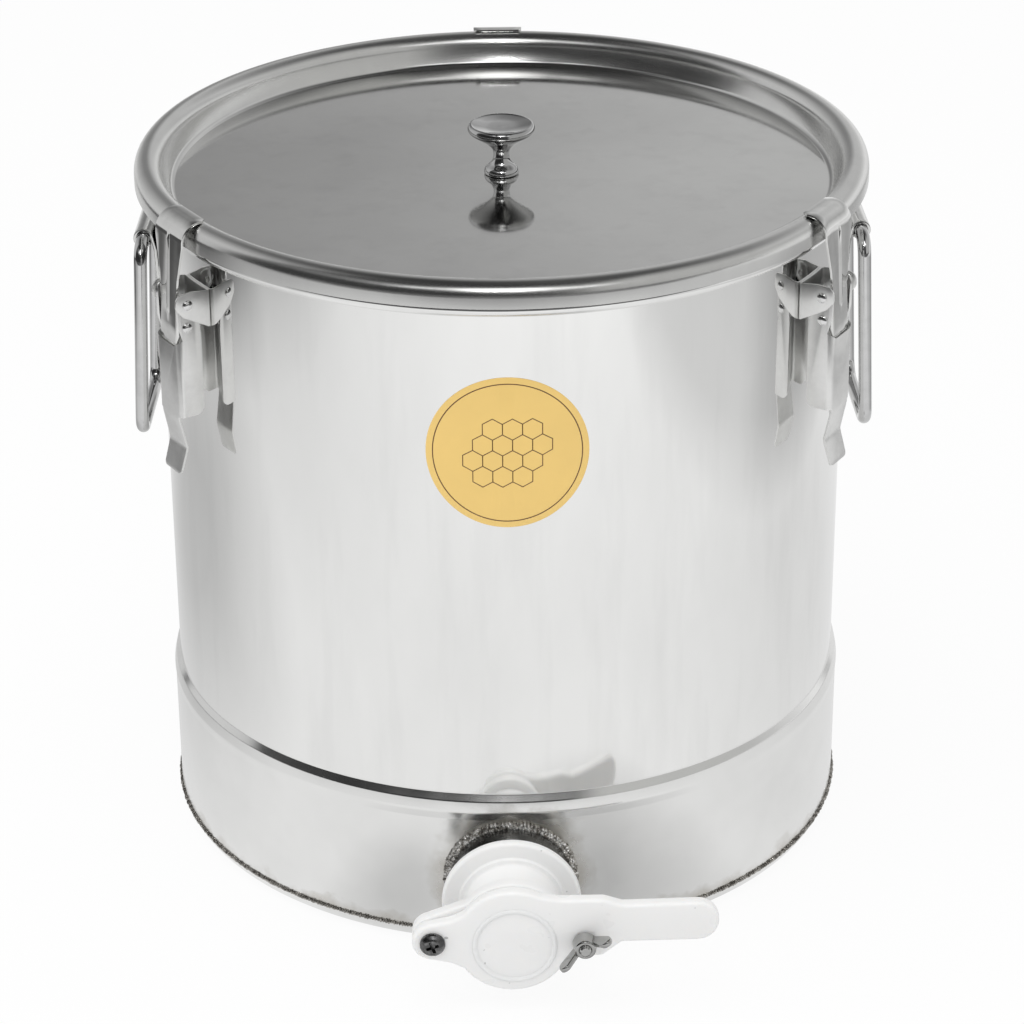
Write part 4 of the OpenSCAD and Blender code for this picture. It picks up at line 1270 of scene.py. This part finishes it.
class HONEYTANK_OT_stage(Operator):
    """Set the floor, the lamps, the surroundings and the camera"""
    bl_idname = "honeytank.stage"
    bl_label = "Studio"

    def execute(self, context):
        settings = context.scene.honey_tank
        self.floor(context.scene, settings)
        self.lamps(context.scene, settings.stage)
        self.surroundings(context.scene, settings)
        self.camera(context.scene, settings.stage)
        return {"FINISHED"}

    def floor(self, scene, settings):
        half = settings.stage.floor
        mesh = bpy.data.meshes.new("floor")
        mesh.from_pydata([(-half, -half, 0), (half, -half, 0), (half, half, 0), (-half, half, 0)], [], [(0, 1, 2, 3)])
        mesh.materials.append(self.paper(settings.finish.floor))
        floor = bpy.data.objects.new("floor", mesh)
        scene.collection.objects.link(floor)

    def paper(self, tone):
        """White paper that is seen nearly white and still takes the shadow."""
        material = bpy.data.materials.new("floor_paper")
        material.use_nodes = True
        tree = material.node_tree
        tree.nodes.clear()
        path = node(tree, "ShaderNodeLightPath").outputs
        seen = maths(tree, "MAXIMUM", path["Is Camera Ray"], path["Is Glossy Ray"])
        seen = maths(tree, "MAXIMUM", seen, path["Is Transmission Ray"])
        # The camera sees plain white; metal sees the floor with its painted shade and painted shadows.
        shown = blended(tree, path["Is Camera Ray"], self.mirrored(tree), WHITE)
        paper = node(tree, "ShaderNodeBsdfDiffuse", {"Color": tone})
        glow = node(tree, "ShaderNodeEmission", {"Color": shown, "Strength": 1.0})
        mixed = node(tree, "ShaderNodeMixShader", {
            0: maths(tree, "MULTIPLY", seen, 0.92), 1: paper.outputs[0], 2: glow.outputs[0]})
        node(tree, "ShaderNodeOutputMaterial", {"Surface": mixed.outputs[0]})
        return material

    def mirrored(self, tree):
        """How bright metal shows the floor: painted shade and painted shadows beside the tank and in front of the
        gate, dark far out in front and on the left.
        """
        place = node(tree, "ShaderNodeTexCoord").outputs["Object"]
        spot = node(tree, "ShaderNodeSeparateXYZ", {"Vector": place}).outputs

        def along(axis, start, end, *stops):
            return greys(tree, ranged(tree, spot[axis], 0.0, 1.0, start, end), *stops)

        left = along("X", -1.3, 0.0, (0.0, 0.03), (0.1, 0.04), (0.23, 0.12), (0.32, 0.48), (0.42, 0.78), (0.8, 1.0))
        right = along("X", 0.0, 2.0, (0.28, 1.0), (0.36, 0.55), (0.57, 0.42), (0.85, 1.0))
        beside = along("Y", -0.2, 1.8, (0.0, 0.5), (0.12, 1.0), (0.65, 1.0), (0.9, 0.2))
        ahead = along("Y", -1.3, -0.3, (0.06, 0.1), (0.26, 1.0), (0.45, 0.96), (0.8, 0.88))
        sides = node(tree, "ShaderNodeMix", {0: beside, 2: 1.0, 3: maths(tree, "MULTIPLY", left, right)}).outputs[0]
        bright = maths(tree, "MULTIPLY", sides, ahead)
        # Painted shadows on the floor: the tank's shadow at its left and right, the gate's shadow in front of the
        # band.
        for x, y, shade, near, far in ((-0.45, 0.2, 0.64, 0.1, 0.42), (0.45, 0.1, 0.87, 0.1, 0.42),
                                       (0.07, -0.235, 0.55, 0.02, 0.13), (-0.08, -0.215, 0.72, 0.02, 0.07)):
            soft = ranged(tree, away_from(tree, place, (x, y, 0)), shade, 1.0, near, far)
            bright = maths(tree, "MULTIPLY", bright, soft)
        return bright

    def lamps(self, scene, stage):
        key = self.lamp(scene, "overhead_lamp", (-0.35, -0.55, 2.1), 1.5, stage.key, "SQUARE")
        key.visible_glossy = False
        for k, (x, height) in enumerate(((-0.10, 1.36), (-0.10, 1.50), (0.0, 1.36), (0.0, 1.46))):
            self.lamp(scene, f"front_lamp_{k}", (x, -1.5, height), 0.04, stage.fill, "DISK")

    def lamp(self, scene, name, spot, size, watts, shape):
        """A lamp that shines on the tank's middle."""
        data = bpy.data.lights.new(name, "AREA")
        data.shape, data.size, data.energy = shape, size, watts
        lamp = bpy.data.objects.new(name, data)
        lamp.location = spot
        lamp.rotation_euler = (Vector((0, 0, 0.2)) - Vector(spot)).to_track_quat("-Z", "Y").to_euler()
        scene.collection.objects.link(lamp)
        return lamp

    def surroundings(self, scene, settings):
        """A studio as metal shows it, an even light on matt surfaces and white behind."""
        scene.world = bpy.data.worlds.new("studio")
        scene.world.use_nodes = True
        tree = scene.world.node_tree
        tree.nodes.clear()
        path = node(tree, "ShaderNodeLightPath").outputs
        even = settings.stage.ambient
        direct = maths(tree, "LESS_THAN", path["Diffuse Depth"], 0.5)
        mirror = maths(tree, "MULTIPLY", path["Is Glossy Ray"], direct)
        lit = blended(tree, mirror, (even, even, even, 1), self.room(tree, settings.finish.window))
        plain = maths(tree, "MAXIMUM", path["Is Camera Ray"], path["Is Transmission Ray"])
        back = node(tree, "ShaderNodeBackground", {"Color": blended(tree, plain, lit, WHITE), "Strength": 1.0})
        node(tree, "ShaderNodeOutputWorld", {"Surface": back.outputs[0]})

    def room(self, tree, window):
        """Pale back wall, dim and uneven front, a window on the right, a dark side and three soft lights."""
        facing = node(tree, "ShaderNodeTexCoord").outputs["Generated"]
        x, y, z = node(tree, "ShaderNodeSeparateXYZ", {"Vector": facing}).outputs
        wall = greys(tree, z, (0.0, 0.7), (0.3, 0.36), (0.5, 0.48), (0.72, 0.22), (0.9, 0.05))
        wall = blended(tree, 1.0, wall, ranged(tree, x, 0.6, 1.4, -0.12, 0.07), "MULTIPLY")
        uneven = ranged(tree, grain(tree, facing, 3.2, 1.0, (1, 1, 0.5)), 0.3, 1.4, 0.42, 0.6)
        front = greys(tree, z, (0.3, 0.05), (0.5, 0.08), (0.62, 0.34), (0.75, 0.24), (0.9, 0.05))
        front = blended(tree, 1.0, front, uneven, "MULTIPLY")
        front = blended(tree, greys(tree, x, (0.32, 0.0), (0.46, 1.0)), front, window)
        room = blended(tree, ranged(tree, y, 0.0, 1.0, -0.3, 0.25), front, wall)
        side = greys(tree, y, (0.0, 0.04), (0.06, 0.8))
        room = blended(tree, ranged(tree, x, 0.25, 1.0, -0.8, -0.3), side, room)
        for turn, rise, size, glow in ((0, 48, 0.26, 2.6), (27, 42, 0.12, 2.0), (-30, 44, 0.12, 1.4)):
            aim = turned_by(turn) @ turned_by(-rise, "X") @ Vector((0, -1, 0))
            patch = ranged(tree, away_from(tree, facing, aim), 1.0, 0.0, size * 0.5, size)
            room = blended(tree, patch, room, (glow, glow, glow, 1))
        return room

    def camera(self, scene, stage):
        data = bpy.data.cameras.new("camera")
        data.lens, data.sensor_width = stage.lens, 36.0
        camera = bpy.data.objects.new("camera", data)
        tilt = Matrix.Rotation(math.pi / 2 - stage.elevation, 4, "X") @ Matrix.Rotation(stage.roll, 4, "Z")
        aim = Matrix.Translation((stage.aim_x, 0, stage.aim_h))
        back = Matrix.Translation((0, 0, stage.distance))
        camera.matrix_world = Matrix.Rotation(stage.turn, 4, "Z") @ aim @ tilt @ back
        scene.collection.objects.link(camera)
        scene.camera = camera
        scene.view_settings.view_transform = "Standard"


class HONEYTANK_PT_panel(Panel):
    """Lists the pieces in the sidebar"""
    bl_idname = "HONEYTANK_PT_panel"
    bl_label = "Honey tank"
    bl_space_type = "VIEW_3D"
    bl_region_type = "UI"
    bl_category = "Honey tank"

    def draw(self, context):
        for operator in OPERATORS:
            self.layout.operator(operator.bl_idname)


OPERATORS = (HONEYTANK_OT_stage, HONEYTANK_OT_shell, HONEYTANK_OT_welds, HONEYTANK_OT_label, HONEYTANK_OT_lid,
             HONEYTANK_OT_latches, HONEYTANK_OT_handles, HONEYTANK_OT_gate)
GROUPS = (ShellSizes, LidSizes, LatchSizes, HandleSizes, GateSizes, LabelSizes, Finishes, StageSizes, HoneyTank)
CLASSES = GROUPS + OPERATORS + (HONEYTANK_PT_panel,)


def register():
    for kind in CLASSES:
        bpy.utils.register_class(kind)
    bpy.types.Scene.honey_tank = PointerProperty(type=HoneyTank)


def unregister():
    del bpy.types.Scene.honey_tank
    for kind in reversed(CLASSES):
        bpy.utils.unregister_class(kind)


def main():
    register()
    bpy.ops.honeytank.stage()
    bpy.ops.honeytank.shell()
    bpy.ops.honeytank.welds()
    bpy.ops.honeytank.label()
    bpy.ops.honeytank.lid()
    bpy.ops.honeytank.latches()
    bpy.ops.honeytank.handles()
    bpy.ops.honeytank.gate()


if __name__ == "__main__":
    main()
